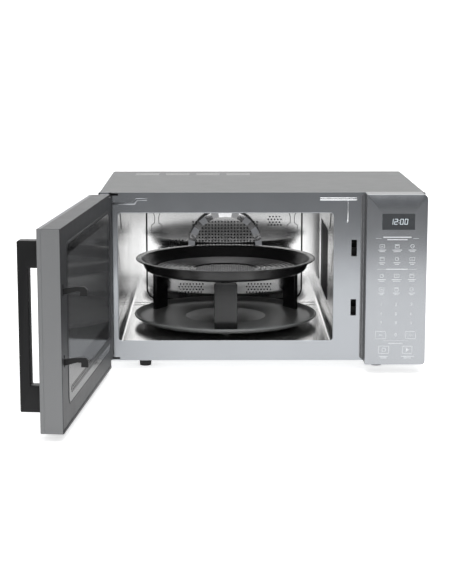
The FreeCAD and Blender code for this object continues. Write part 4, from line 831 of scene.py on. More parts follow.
def bead(path: Sequence[Sequence[float]], radius: float, closed: bool = False, sides: int = 8) -> Mesh:
    """A round bead swept along a path by bridging a circle from point to point.

    Args:
        path: the points to follow.
        radius: the bead's radius.
        closed: whether the last point joins the first.
        sides: how many sides the circle has.

    Returns:
        The bead's mesh.
    """
    mesh = bmesh.new()
    points = [Vector(point) * MM for point in path]
    rings = []
    for index, point in enumerate(points):
        before = points[index - 1] if closed or index else point
        after = points[(index + 1) % len(points)] if closed or index < len(points) - 1 else point
        turn = (after - before).to_track_quat("Z", "Y").to_matrix().to_4x4()
        made = bmesh.ops.create_circle(mesh, segments=sides, radius=radius * MM, cap_ends=False,
                                       matrix=Matrix.Translation(point) @ turn)
        rings.append(made["verts"])
    pairs = list(zip(rings, rings[1:])) + ([(rings[-1], rings[0])] if closed else [])
    for first, second in pairs:
        edges = [edge for edge in mesh.edges if all(v in first for v in edge.verts)]
        edges += [edge for edge in mesh.edges if all(v in second for v in edge.verts)]
        bmesh.ops.bridge_loops(mesh, edges=edges)
    if not closed:
        bmesh.ops.holes_fill(mesh, edges=[edge for edge in mesh.edges if edge.is_boundary], sides=0)
    return mesh


def rounded_path(across: Span, up: Span, radius: float, steps: int = 6) -> list[Span]:
    """The points of a rounded rectangle, from the bottom left corner, counter-clockwise.

    Args:
        across: its left and right.
        up: its bottom and top.
        radius: its corner radius.
        steps: how many flats each corner has.

    Returns:
        The points.
    """
    left, right, bottom, top = across[0] + radius, across[1] - radius, up[0] + radius, up[1] - radius
    points = []
    for u, v, start in ((left, bottom, 180), (right, bottom, 270), (right, top, 0), (left, top, 90)):
        for step in range(steps + 1):
            angle = math.radians(start + 90 * step / steps)
            points.append((u + radius * math.cos(angle), v + radius * math.sin(angle)))
    return points


def merged(meshes: Iterable[Mesh]) -> Mesh:
    """Several bmeshes as one.

    Args:
        meshes: the bmeshes, used up here.

    Returns:
        The new bmesh.
    """
    whole = bmesh.new()
    for mesh in meshes:
        data = bpy.data.meshes.new("scratch")
        mesh.to_mesh(data)
        mesh.free()
        whole.from_mesh(data)
        bpy.data.meshes.remove(data)
    return whole


def finished(name: str, mesh: Mesh, body: Body, finish: Finish, replaces: Sequence[str] = (),
             place: Matrix | None = None) -> bpy.types.Object:
    """Turns a bmesh into a riding piece with its finish.

    Args:
        name: the piece's name.
        mesh: the bmesh, used up here.
        body: what it rides on.
        finish: its finish.
        replaces: the CAD nodes that it stands for.
        place: moves the mesh into the oven's frame first.

    Returns:
        The piece.
    """
    if place is not None:
        bmesh.ops.transform(mesh, matrix=place, verts=mesh.verts)
    bmesh.ops.remove_doubles(mesh, verts=mesh.verts, dist=1e-7)
    bmesh.ops.recalc_face_normals(mesh, faces=mesh.faces)
    data = bpy.data.meshes.new(name)
    mesh.to_mesh(data)
    mesh.free()
    data.shade_smooth()
    data.set_sharp_from_angle(angle=SHARP_ANGLE)
    data.materials.append(finish.made())
    piece = bpy.data.objects.new(name, data)
    bpy.context.scene.collection.objects.link(piece)
    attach(piece, body.value)
    if replaces:
        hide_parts(*replaces)
    LOG.info("%s: %d faces on %s", name, len(data.polygons), body.value)
    return piece


def dressed(finish: Finish, *nodes: str) -> None:
    """Gives carried-over CAD nodes a finish.

    Args:
        finish: the finish.
        nodes: the nodes' names.
    """
    for node in nodes:
        data = bpy.data.objects[node].data
        data.materials.clear()
        data.materials.append(finish.made())


# ------------------------------------------------------------------ the oven


@dataclass
class Case:
    """The sheet-metal case, its front sheet and its feet."""

    sheet: Box = field(default_factory=lambda: sized(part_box("front_plate")))
    wrap: Box = field(default_factory=lambda: sized(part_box("outer_wrap")))
    mouth: tuple[Span, Span] = ((-238.7, 119.6), (48.5, 264.3))
    mouth_radius: float = 7.0
    latch_slots: tuple[tuple[Span, Span], ...] = (((148.4, 157.6), (91.5, 119.0)),
                                                  ((148.4, 157.6), (191.5, 219.0)))
    hinge_slots: tuple[tuple[Span, Span], ...] = (((-267.0, -237.0), (292.6, 296.2)),
                                                  ((-267.0, -237.0), (17.4, 20.6)))
    panel_opening: tuple[Span, Span] = ((182.4, 257.5), (60.0, 230.0))
    louvre_columns: Sequence[float] = (45.2, 100.8, 156.4, 212.0)
    louvre_rows: Sequence[float] = (0.0, 8.0, 16.0, 24.0, 32.0)
    louvre_field: tuple[float, float] = (44.0, 35.0)
    louvre_inset: float = 69.0
    bar: tuple[float, float] = (61.9, 5.0)
    bar_right: float = 112.2
    relief: float = 0.9
    strap: Sequence[Span] = ((0, 0), (37, 0), (41, 6.5), (57, 6.5), (57, 11), (38.5, 11), (34.5, 4.5),
                             (0, 4.5))
    strap_corner: Span = (23.0, 20.5)
    collar: Sequence[Span] = ((9.0, 0), (13.4, 0), (14.2, 0.8), (14.2, 2.6), (9.0, 2.6), (9.0, 0))
    foot_radius: float = 11.0

    def build(self) -> None:
        """Dresses the sheets and adds the pressed details."""
        dressed(PALETTE.case, "outer_wrap")
        dressed(PALETTE.zinc, "rear_panel", "base_plate", "rear_bulge_cover", "cover_screws", "door_hinges")
        dressed(PALETTE.rubber, "feet")
        dressed(PALETTE.black, "cord_gland")
        self.face_sheet()
        self.top_louvres()
        self.pressed_bar()
        self.hinge_strap()
        self.foot_collars()
        self.mouth_lip()

    def top_louvres(self) -> None:
        """Pale blades in the four groups of air slots in the top, over a pale backing, as painted light in
        the slots.
        """
        low, high = self.wrap
        wide, deep = self.louvre_field
        near = high.y - self.louvre_inset
        blades = []
        for column in self.louvre_columns:
            start = low.x + column
            for row in self.louvre_rows:
                blades.append(block((start + 0.2, near + row + 0.2, high.z - 0.9),
                                    (start + wide - 0.2, near + row + 2.8, high.z - 0.05), 0.2, 1))
            blades.append(block((start, near, high.z - 1.6),
                                (start + wide, near + deep, high.z - 1.02), 0.2, 1))
        # Painted light: blades and backing are pale to stand in for the light in the slots.
        finished("top_louvres", merged(blades), Body.CABINET, PALETTE.white)

    def face_sheet(self) -> None:
        """The front sheet with its mouth, latch slots, hinge slots and panel opening."""
        low, high = self.sheet

        def loops(mesh: Mesh) -> Edges:
            """The sheet's edge and its openings.

            Args:
                mesh: where to draw them.

            Returns:
                Their edges.
            """
            edges = outline(mesh, (low.x, high.x), (low.z, high.z))
            edges += outline(mesh, *self.mouth, self.mouth_radius)
            for slot in self.latch_slots:
                edges += outline(mesh, *slot, 0.6)
            for slot in (*self.hinge_slots, self.panel_opening):
                edges += outline(mesh, *slot)
            return edges

        finished("face_sheet", plate(loops, high.y - low.y), Body.CABINET, PALETTE.front, ("front_plate",),
                 shifted(y=high.y) @ Facing.FRONT.value)

    def pressed_bar(self) -> None:
        """The pressed bar on the right of the top rail, with its stem and end mark, pale as a painted
        highlight.
        """
        low, high = self.sheet
        wide, tall = self.bar
        y, right, top = low.y, high.x - self.bar_right, high.z - 8.5
        stem = right - 15.2
        marks = [
            block((right - wide, y - self.relief, top - tall), (right, y + 0.2, top), 0.8, 3),
            block((stem - 0.7, y - 0.5, top - 38.0), (stem + 0.6, y + 0.2, top - 4.0), 0.4),
            cone((2.4, 1.4), 0.9,
                 shifted(stem, y - 0.25, top - 39.5) @ Matrix.Rotation(math.pi / 2, 4, "X"), 24),
        ]
        # Painted highlight: the bar, stem and mark are pale so they catch the eye as lit ribs.
        finished("pressed_bar", merged(marks), Body.CABINET, PALETTE.bright)

    def hinge_strap(self) -> None:
        """The joggled strap beside the upper hinge, outlined in painted shade."""
        low, high = self.sheet
        left, top = low.x + self.strap_corner[0], high.z - self.strap_corner[1]
        sketch = [(left + u, top + v) for u, v in self.strap]
        strap = prism(sketch, self.relief)
        bevelled(strap, creased(strap, lambda middle: middle.z > self.relief - 0.1), 0.35)
        on_sheet = shifted(y=low.y) @ Facing.FRONT.value
        finished("hinge_strap", strap, Body.CABINET, PALETTE.front, place=on_sheet)
        # Painted shade: a dark bead round the strap for the shade along its raised edge.
        edge = bead([(u, v, 0.25) for u, v in sketch], 0.4, True, 6)
        finished("hinge_strap_edge", edge, Body.CABINET, PALETTE.dark_joint_and_painted_shade, place=on_sheet)

    def foot_collars(self) -> None:
        """A moulded collar round the top of each foot."""
        low, high = sized(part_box("feet"))
        inset = self.foot_radius
        tall = max(height for _, height in self.collar)
        collars = []
        for x in (low.x + inset, high.x - inset):
            for y in (low.y + inset, high.y - inset):
                rim = turned(self.collar, 40)
                bmesh.ops.transform(rim, matrix=shifted(x, y, high.z - tall), verts=rim.verts)
                collars.append(rim)
        finished("foot_collars", merged(collars), Body.CABINET, PALETTE.black)

    def mouth_lip(self) -> None:
        """The rolled lip round the cavity mouth."""
        y = self.sheet[0].y + 0.3
        lip = bead([(u, y, v) for u, v in rounded_path(*self.mouth, self.mouth_radius)], 0.75, True)
        finished("mouth_lip", lip, Body.CABINET, PALETTE.front)


@dataclass
class Cavity:
    """The bright cooking cavity and what is fixed in it."""

    wall: Box = field(default_factory=lambda: sized(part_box("cavity_back_wall")))
    shell: Box = field(default_factory=lambda: sized(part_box("cavity_shell")))
    floor_drop: float = 225.8
    flange: float = 10.0
    recess_sides: Span = (33.0, 36.0)
    recess_bottom: float = 9.5
    recess_radius: float = 21.0
    key_half: Sequence[Span] = ((6.5, 45), (6.5, 30), (3.8, 22), (3.8, 10), (9.5, 6), (9.5, -8))
    key_sides: Span = (52.0, 54.0)
    key_drop: float = 73.0
    well: Sequence[Span] = ((127.6, -1.2), (127.9, 0.15), (129.2, 0.75), (131.0, 0.6), (132.0, 0.0),
                            (131.0, -0.3), (128.6, -1.2), (127.6, -1.2))
    slants: Sequence[tuple[float, ...]] = ((52.0, 108.0, 26.0, 150.0), (96.0, 176.0, 66.0, 212.0))
    seam_height: float = 34.0

    def build(self) -> None:
        """Dresses the sheets and adds the pressed beads."""
        dressed(PALETTE.cavity, "cavity_shell")
        dressed(PALETTE.back_wall, "cavity_back_wall")
        dressed(PALETTE.mica, "waveguide_cover")
        dressed(PALETTE.element, "grill_heater")
        dressed(PALETTE.shade_tin, "cavity_lamp")
        self.floor = self.shell[1].z - self.floor_drop
        self.back_recess()
        self.key_marks()
        self.well_edge()
        self.floor_crease()
        self.side_creases()

    def back_recess(self) -> None:
        """The U-shaped pressed groove round the fan area of the back wall, drawn as a dark bead of painted
        shade.
        """
        low, high = self.wall
        left, right = low.x + self.recess_sides[0], high.x - self.recess_sides[1]
        radius, y, top = self.recess_radius, low.y - 0.6, high.z - 3.0
        middle = low.z + self.recess_bottom + radius
        points = [(left, y, top)]
        for centre, start in ((left + radius, 180), (right - radius, 270)):
            for step in range(9):
                angle = math.radians(start + 90 * step / 8)
                points.append((centre + radius * math.cos(angle), y, middle + radius * math.sin(angle)))
        points.append((right, y, top))
        # Painted shade: a dark bead where the groove would hold shade.
        finished("back_recess", bead(points, 1.5), Body.CABINET, PALETTE.dark_joint_and_painted_shade)

    def key_marks(self) -> None:
        """The two keyhole-shaped pressings in the upper corners of the back wall, outlined in dark beads of
        painted shade.
        """
        low, high = self.wall
        side = [(-u, v) for u, v in self.key_half] + list(reversed(self.key_half))
        marks = []
        for x in (low.x + self.key_sides[0], high.x - self.key_sides[1]):
            path = [(x + u, low.y - 0.3, high.z - self.key_drop + v) for u, v in side]
            marks.append(bead(path, 0.6, False, 6))
        # Painted shade: dark outlines for the shade along the pressings' edges.
        finished("key_marks", merged(marks), Body.CABINET, PALETTE.dark_joint_and_painted_shade)

    def well_edge(self) -> None:
        """The soft rolled edge of the roller well."""
        low, high = sized(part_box("glass_turntable"))
        centre = (low + high) / 2
        finished("well_edge", turned(self.well, 128), Body.CABINET, PALETTE.cavity,
                 place=shifted(centre.x, centre.y, self.floor))

    def floor_crease(self) -> None:
        """The raised bead across the floor near the back wall."""
        low, high = self.wall
        y = low.y - 14.0
        bar = block((low.x + 9.0, y, self.floor - 0.4), (high.x - 9.0, y + 2.4, self.floor + 0.7), 0.5)
        finished("floor_crease", bar, Body.CABINET, PALETTE.cavity)

    def side_creases(self) -> None:
        """Slanted stiffening creases and a seam pressed into each side wall."""
        low, high = self.shell
        creases = []
        for x in (low.x + self.flange + 0.1, high.x - self.flange - 0.1):
            for near, bottom, far, top in self.slants:
                slant = [(x, low.y + near, self.floor + bottom), (x, low.y + far, self.floor + top)]
                creases.append(bead(slant, 0.8))
            height = self.floor + self.seam_height
            seam = [(x, low.y + 12.0, height), (x, self.wall[0].y - 6.0, height)]
            creases.append(bead(seam, 0.35, False, 6))
        finished("side_creases", merged(creases), Body.CABINET, PALETTE.cavity)


@dataclass
class Turntable:
    """The glass tray, its roller ring and the drive."""

    bounds: Box = field(default_factory=lambda: sized(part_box("glass_turntable")))
    lug_height: float = 5.0
    lug_circle: float = 16.0
    lug_radii: Span = (2.6, 3.0)
    lug_angles: Sequence[float] = (60, 180, 300)
    mark_radius: float = 71.0

    def build(self) -> None:
        """Builds the tray and dresses the rest."""
        dressed(PALETTE.roller, "roller_wheel_1", "roller_wheel_2", "roller_wheel_3", "drive_coupler",
                "roller_ring")
        dressed(PALETTE.zinc, "turntable_motor")
        self.tray()

    def tray(self) -> None:
        """The pressed glass tray with its raised rim and drive lugs."""
        low, high = self.bounds
        centre = (low + high) / 2
        under, rim, edge = low.z + self.lug_height, high.z, (high.x - low.x) / 2
        top = rim - 5.5
        profile = [
            (0.0, under), (edge - 18.0, under), (edge - 11.0, under + 0.6), (edge - 4.5, under + 3.4),
            (edge - 0.6, under + 6.4), (edge, under + 8.4), (edge - 0.8, rim), (edge - 2.4, rim),
            (edge - 4.8, rim - 1.4), (edge - 9.0, rim - 4.0), (edge - 14.0, rim - 5.3), (edge - 22.0, top),
            (self.mark_radius + 1.0, top), (self.mark_radius, top - 0.4), (self.mark_radius - 1.0, top),
            (0.0, top),
        ]
        pieces = [turned(profile, 128)]
        for degrees in self.lug_angles:
            at = on_circle(self.lug_circle, math.radians(degrees), under - self.lug_height / 2)
            pieces.append(cone(self.lug_radii, self.lug_height, shifted(*at), 20))
        finished("glass_tray", merged(pieces), Body.TRAY, PALETTE.glass, ("glass_turntable",),
                 shifted(centre.x, centre.y))


@dataclass
class CrispPan:
    """The legged pan with its lifting hoop."""

    bounds: Box = field(default_factory=lambda: sized(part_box("crisp_pan")))
    legs: Box = field(default_factory=lambda: sized(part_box("pan_legs")))
    hoop: Box = field(default_factory=lambda: sized(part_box("pan_handle")))
    metal: float = 1.6
    rim_radius: float = 157.2
    outer_ridge: float = 124.0
    ridge_pitch: float = 9.0
    ridges: int = 8
    knob_pitch: float = 8.0
    knob_field: float = 51.0
    knob_radius: float = 2.7
    leg_half: float = 19.5
    leg_thick: float = 7.0
    leg_circle: float = 133.0
    leg_corner: float = 3.0
    leg_angles: Sequence[float] = (-90, 30, 150)
    hoop_width: float = 12.0
    hoop_flats: int = 16
    hoop_step: float = 1.0

    def build(self) -> None:
        """Builds dish, ridges, legs and hoop."""
        low, high = self.bounds
        self.place = shifted((low.x + high.x) / 2, (low.y + high.y) / 2)
        self.base = low.z + self.metal
        self.ridge_radii = [self.outer_ridge - self.ridge_pitch * index for index in range(self.ridges)]
        self.dish()
        self.ridge_crests()
        self.rim_bead()
        self.leg_plates()
        self.hoop_band()

    def dish(self) -> None:
        """The dish, with pressed rings in its base."""
        under, rim, base = self.bounds[0].z, self.bounds[1].z, self.base
        profile = [
            (0.0, under), (131.0, under), (137.0, under + 0.9), (141.0, under + 3.2), (143.2, under + 6.5),
            (148.6, rim - 4.4), (149.8, rim - 3.2), (155.8, rim - 2.9), (157.8, rim - 2.2),
            (158.5, rim - 1.2),
            (157.9, rim - 0.3), (156.4, rim), (153.6, rim - 0.2), (149.0, rim - 1.2), (146.9, rim - 4.0),
            (141.4, base + 5.2), (138.6, base + 1.6), (133.0, base),
        ]
        for ridge in self.ridge_radii:
            profile += [(ridge + 3.2, base), (ridge + 2.0, base + 1.2), (ridge, base + 2.4),
                        (ridge - 2.0, base + 1.2), (ridge - 3.2, base)]
        profile.append((0.0, base))
        finished("pan_dish", turned(profile, 144), Body.PAN, PALETTE.coating, ("crisp_pan",), self.place)

    def ridge_crests(self) -> None:
        """The crests of the rings and the field of knobs inside them, coated lighter than the dish as a
        painted highlight.
        """
        pieces = [bead(circle(ridge, self.base + 1.9), 1.1, True) for ridge in self.ridge_radii]
        for row in range(-6, 7):
            for column in range(-6, 7):
                x = (column + 0.5 * (row % 2)) * self.knob_pitch
                y = row * self.knob_pitch * math.sqrt(3) / 2
                if math.hypot(x, y) < self.knob_field:
                    place = shifted(x, y, self.base) @ Matrix.Diagonal((1, 1, 0.6, 1))
                    knob = bmesh.new()
                    bmesh.ops.create_uvsphere(knob, u_segments=8, v_segments=6,
                                              radius=self.knob_radius * MM, matrix=place)
                    pieces.append(knob)
        finished("pan_ridges", merged(pieces), Body.PAN, PALETTE.crests, place=self.place)

    def rim_bead(self) -> None:
        """A painted highlight along the top of the rim."""
        edge = bead(circle(self.rim_radius, self.bounds[1].z - 0.75), 0.65, True, 6)
        finished("pan_rim_bead", edge, Body.PAN, PALETTE.painted_rim_highlight, place=self.place)

    def leg_plates(self) -> None:
        """Three flat legs with clipped upper corners."""
        low, high = self.legs
        half, corner = self.leg_half, self.leg_corner
        side = [(-half, low.z), (half, low.z), (half, high.z - corner), (half - corner, high.z),
                (corner - half, high.z), (-half, high.z - corner)]
        plates = []
        for degrees in self.leg_angles:
            leg = prism(side, self.leg_thick)
            bevelled(leg, creased(leg), 0.7, 3)
            turn = Matrix.Rotation(math.radians(degrees + 90), 4, "Z")
            place = self.place @ turn @ shifted(y=-self.leg_circle) @ Facing.FRONT.value
            bmesh.ops.transform(leg, matrix=place, verts=leg.verts)
            plates.append(leg)
        finished("pan_leg_plates", merged(plates), Body.PAN, PALETTE.coating, ("pan_legs",))

    def hoop_band(self) -> None:
        """The polished band, bent to an arch in short flats that catch the light by turns."""
        low, high = self.hoop
        outer, half = (high.x - low.x) / 2, (high.y - low.y) / 2
        rise = outer - (high.z - low.z)
        inner = outer - self.hoop_width
        mesh = bmesh.new()
        section = [(inner, -half), (outer, -half), (outer, half), (inner, half)]
        face = mesh.faces.new([mesh.verts.new((radius * MM, depth * MM, 0.0)) for radius, depth in section])
        bmesh.ops.spin(mesh, geom=[face], cent=(0, 0, 0), axis=(0, -1, 0), dvec=(0, 0, 0), angle=math.pi,
                       steps=self.hoop_flats, use_merge=False, use_duplicate=False)
        for vertex in mesh.verts:
            step = round(math.atan2(vertex.co.z, vertex.co.x) / (math.pi / self.hoop_flats))
            if vertex.co.y < 0 and step % 2:
                vertex.co.y += self.hoop_step * MM
        bmesh.ops.bisect_plane(mesh, geom=mesh.verts[:] + mesh.edges[:] + mesh.faces[:],
                               plane_co=(0, 0, rise * MM), plane_no=(0, 0, -1), clear_outer=True)
        bmesh.ops.holes_fill(mesh, edges=[edge for edge in mesh.edges if edge.is_boundary], sides=0)
        middle = shifted((low.x + high.x) / 2, (low.y + high.y) / 2, low.z - rise)
        piece = finished("hoop_band", mesh, Body.PAN, PALETTE.hoop, ("pan_handle",), middle)
        piece.data.set_sharp_from_angle(angle=math.radians(3))


@dataclass
class Door:
    """The side-hinged door, its handle and its hooks, drawn closed and then hung open."""

    hinge: Matrix = field(default_factory=Matrix)
    open_angle: float = 0.0
    left: float = -5.5
    right: float = 432.8
    bottom: float = 10.3
    top: float = 298.0
    outer: float = -16.6
    groove: float = -10.6
    inner: float = 16.2
    glass: tuple[Span, Span] = ((32.0, 384.0), (61.0, 265.0))
    notch: tuple[float, float, float] = (16.0, 12.2, 5.4)
    rim: tuple[Span, Span] = ((20.0, 390.0), (39.0, 273.5))
    rim_width: float = 4.0
    panel: tuple[Span, Span] = ((24.2, 385.8), (43.2, 269.3))
    window: tuple[Span, Span] = ((45.0, 381.0), (92.0, 256.0))
    strip: tuple[Span, Span] = ((25.5, 369.0), (54.0, 65.0))
    slot_rows: Span = (57.0, 61.6)
    slot_start: float = 34.0
    slot_pitch: float = 9.2
    slots: int = 36
    slot: Span = (6.0, 1.8)
    grip_centre: float = 412.0
    grip_half: float = 10.0
    grip_reach: Span = (-47.0, -31.6)
    grip_span: Span = (38.0, 280.0)
    grip_post: float = 38.0
    wire: float = 0.5
    coils: int = 6
    lift: float = 2.0

    def build(self) -> None:
        """Builds the two halves, the glass side, the handle and the hooks."""
        dressed(PALETTE.zinc, "choke_frame", "handle_screws")
        dressed(PALETTE.strip, "door_screen")
        dressed(PALETTE.black, "latch_key")
        dressed(PALETTE.door_frame, "door_body")
        dressed(SmokedPane("outer_pane", (0.03, 0.03, 0.032), 0.08, 0.0016, self.open_angle), "door_glass")
        dressed(MeshWindow("inner_pane", (0.07, 0.07, 0.072), 0.06, self.open_angle), "inner_window")
        self.end_frame()
        self.facade()
        self.inner_rim()
        self.dark_panel()
        self.perforated_strip()
        self.grip()
        self.bottom_lip()
        self.spring()

    def hang(self, facing: Facing = Facing.UP, depth: float = 0.0) -> Matrix:
        """From a sketch at a depth of the closed door to the hung door."""
        return self.hinge @ shifted(y=depth) @ facing.value

    def spring(self) -> None:
        """The latch key's coil spring."""
        low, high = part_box("latch_spring")
        centre, bottom = (low + high) / 2, low.z / MM + self.wire
        radius, tall, steps = (high.x - low.x) / 2 / MM - self.wire, (high.z - low.z) / MM - 2 * self.wire, 96
        path = []
        for step in range(steps + 1):
            point = on_circle(radius, math.tau * self.coils * step / steps, bottom + tall * step / steps)
            path.append(point + Vector((centre.x, centre.y, 0)) / MM)
        coil = finished("latch_coil", bead(path, self.wire, False, 6), Body.DOOR, PALETTE.zinc,
                        ("latch_spring",))
        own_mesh(coil)

    def facade(self) -> None:
        """The outer panel with soft edges, notched at the hinges and open where the glass sits."""
        across, low, high = self.notch
        corners = [(self.left, self.bottom + low), (across, self.bottom + low), (across, self.bottom),
                   (self.right, self.bottom), (self.right, self.top), (across, self.top),
                   (across, self.top - high), (self.left, self.top - high)]

        def loops(mesh: Mesh) -> Edges:
            """The panel's edge and the glass opening."""
            edges = looped(mesh, [(u * MM, v * MM, 0.0) for u, v in corners])
            return edges + outline(mesh, *self.glass, 0.6)

        depth = self.groove - self.outer
        shell = plate(loops, depth)
        bevelled(shell, creased(shell, lambda middle: middle.z > depth - 0.01), 1.2, 3)
        finished("outer_panel", shell, Body.DOOR, PALETTE.door_edge, ("door_facade",),
                 self.hang(Facing.FRONT, self.groove))

    def end_frame(self) -> None:
        """The sheets over the door's end and top: the end pale and framed by a fine dark joint, the top a
        darker copy of the same paint as painted shade.
        """
        face = self.right - 0.02
        end = block((face - 0.3, self.groove + 0.2, self.bottom + 0.3),
                    (face + 0.07, self.inner - 0.7, self.top - 0.3), 0.05, 1)
        finished("door_end", end, Body.DOOR, PALETTE.door_edge, place=self.hang())
        low, high = self.bottom + 3.0, self.top - 3.0
        near, far = self.groove + 7.0, self.inner - 1.0
        path = [(near, low), (far, low), (far, high), (near, high)]
        joint = bead([(face + 0.06, y, z) for y, z in path], 0.3, True, 6)
        bmesh.ops.scale(joint, vec=(0.1, 1, 1), space=shifted(-face), verts=joint.verts)
        finished("door_end_joint", joint, Body.DOOR, PALETTE.dark_joint_and_painted_shade, place=self.hang())
        # Painted shade: the top sheet takes the darker copy of the edge paint.
        top = block((self.notch[0] + 0.5, self.groove + 0.2, self.top - 0.3),
                    (self.right - 0.2, self.inner - 0.2, self.top - 0.01), 0.05, 1)
        finished("door_top", top, Body.DOOR, PALETTE.door_top, place=self.hang())

    def inner_rim(self) -> None:
        """The raised, soft-edged rim round the dark inner panel, low enough to clear the front sheet."""
        def loops(mesh: Mesh) -> Edges:
            """The rim's outer and inner edges.

            Args:
                mesh: where to draw them.

            Returns:
                Their edges.
            """
            width = self.rim_width
            within = [(side[0] + width, side[1] - width) for side in self.rim]
            return outline(mesh, *self.rim, 16.0) + outline(mesh, *within, 16.0 - width)

        rim = plate(loops, 0.95)
        bevelled(rim, creased(rim, lambda middle: middle.z > 0.9), 0.6, 3)
        finished("inner_rim", rim, Body.DOOR, PALETTE.door_frame,
                 place=self.hang(Facing.BACK, self.inner - 0.3))

    def dark_panel(self) -> None:
        """The dark glossy sheet inside the rim, and the window's view in it."""
        pane = SmokedPane("inner_panel", (0.02, 0.02, 0.021), 0.1, 0.0022, self.open_angle)
        finished("inner_panel", plate(lambda mesh: outline(mesh, *self.panel, 11.0), 0.3), Body.DOOR, pane,
                 place=self.hang(Facing.BACK, self.inner + 0.02))
        view = MeshWindow("window_mesh", (0.085, 0.086, 0.088), 0.07, self.open_angle)
        finished("window_view", plate(lambda mesh: outline(mesh, *self.window, 9.0), 0.08), Body.DOOR, view,
                 place=self.hang(Facing.BACK, self.inner + 0.32))

    def perforated_strip(self) -> None:
        """The slim dark strip with two rows of slots under the window."""
        def loops(mesh: Mesh) -> Edges:
            """The strip's edge and its slots.

            Args:
                mesh: where to draw them.

            Returns:
                Their edges.
            """
            edges = outline(mesh, *self.strip, 5.4)
            for row in self.slot_rows:
                for column in range(self.slots):
                    start = self.slot_start + self.slot_pitch * column
                    edges += outline(mesh, (start, start + self.slot[0]), (row, row + self.slot[1]))
            return edges

        finished("slotted_strip", plate(loops, 0.32), Body.DOOR, PALETTE.strip,
                 place=self.hang(Facing.BACK, self.inner + 0.34))

    def grip(self) -> None:
        """The handle: a grip on two posts, softly rounded."""
        front, back = self.grip_reach
        low, high = self.grip_span
        side = [(self.outer, low), (self.outer, low + self.grip_post), (back, low + self.grip_post),
                (back, high - self.grip_post), (self.outer, high - self.grip_post), (self.outer, high),
                (front, high), (front, low)]
        handle = prism(side, 2 * self.grip_half)
        bevelled(handle, creased(handle, lambda middle: middle.x < front + 0.01), 3.2, 4)
        bevelled(handle, creased(handle, lambda middle: self.outer - 0.5 > middle.x > front + 3.5), 1.4, 3)
        place = self.hinge @ shifted(self.grip_centre - self.grip_half) @ Facing.RIGHT.value
        finished("grip", handle, Body.DOOR, PALETTE.handle, ("door_handle",), place)

    def bottom_lip(self) -> None:
        """The folded lip along the lower edge of the inner half."""
        lip = block((18.0, self.inner - 1.2, self.bottom + 0.1),
                    (self.right - 2.0, self.inner + 0.8, self.bottom + 5.0), 0.7)
        finished("bottom_lip", lip, Body.DOOR, PALETTE.door_frame, place=self.hang())


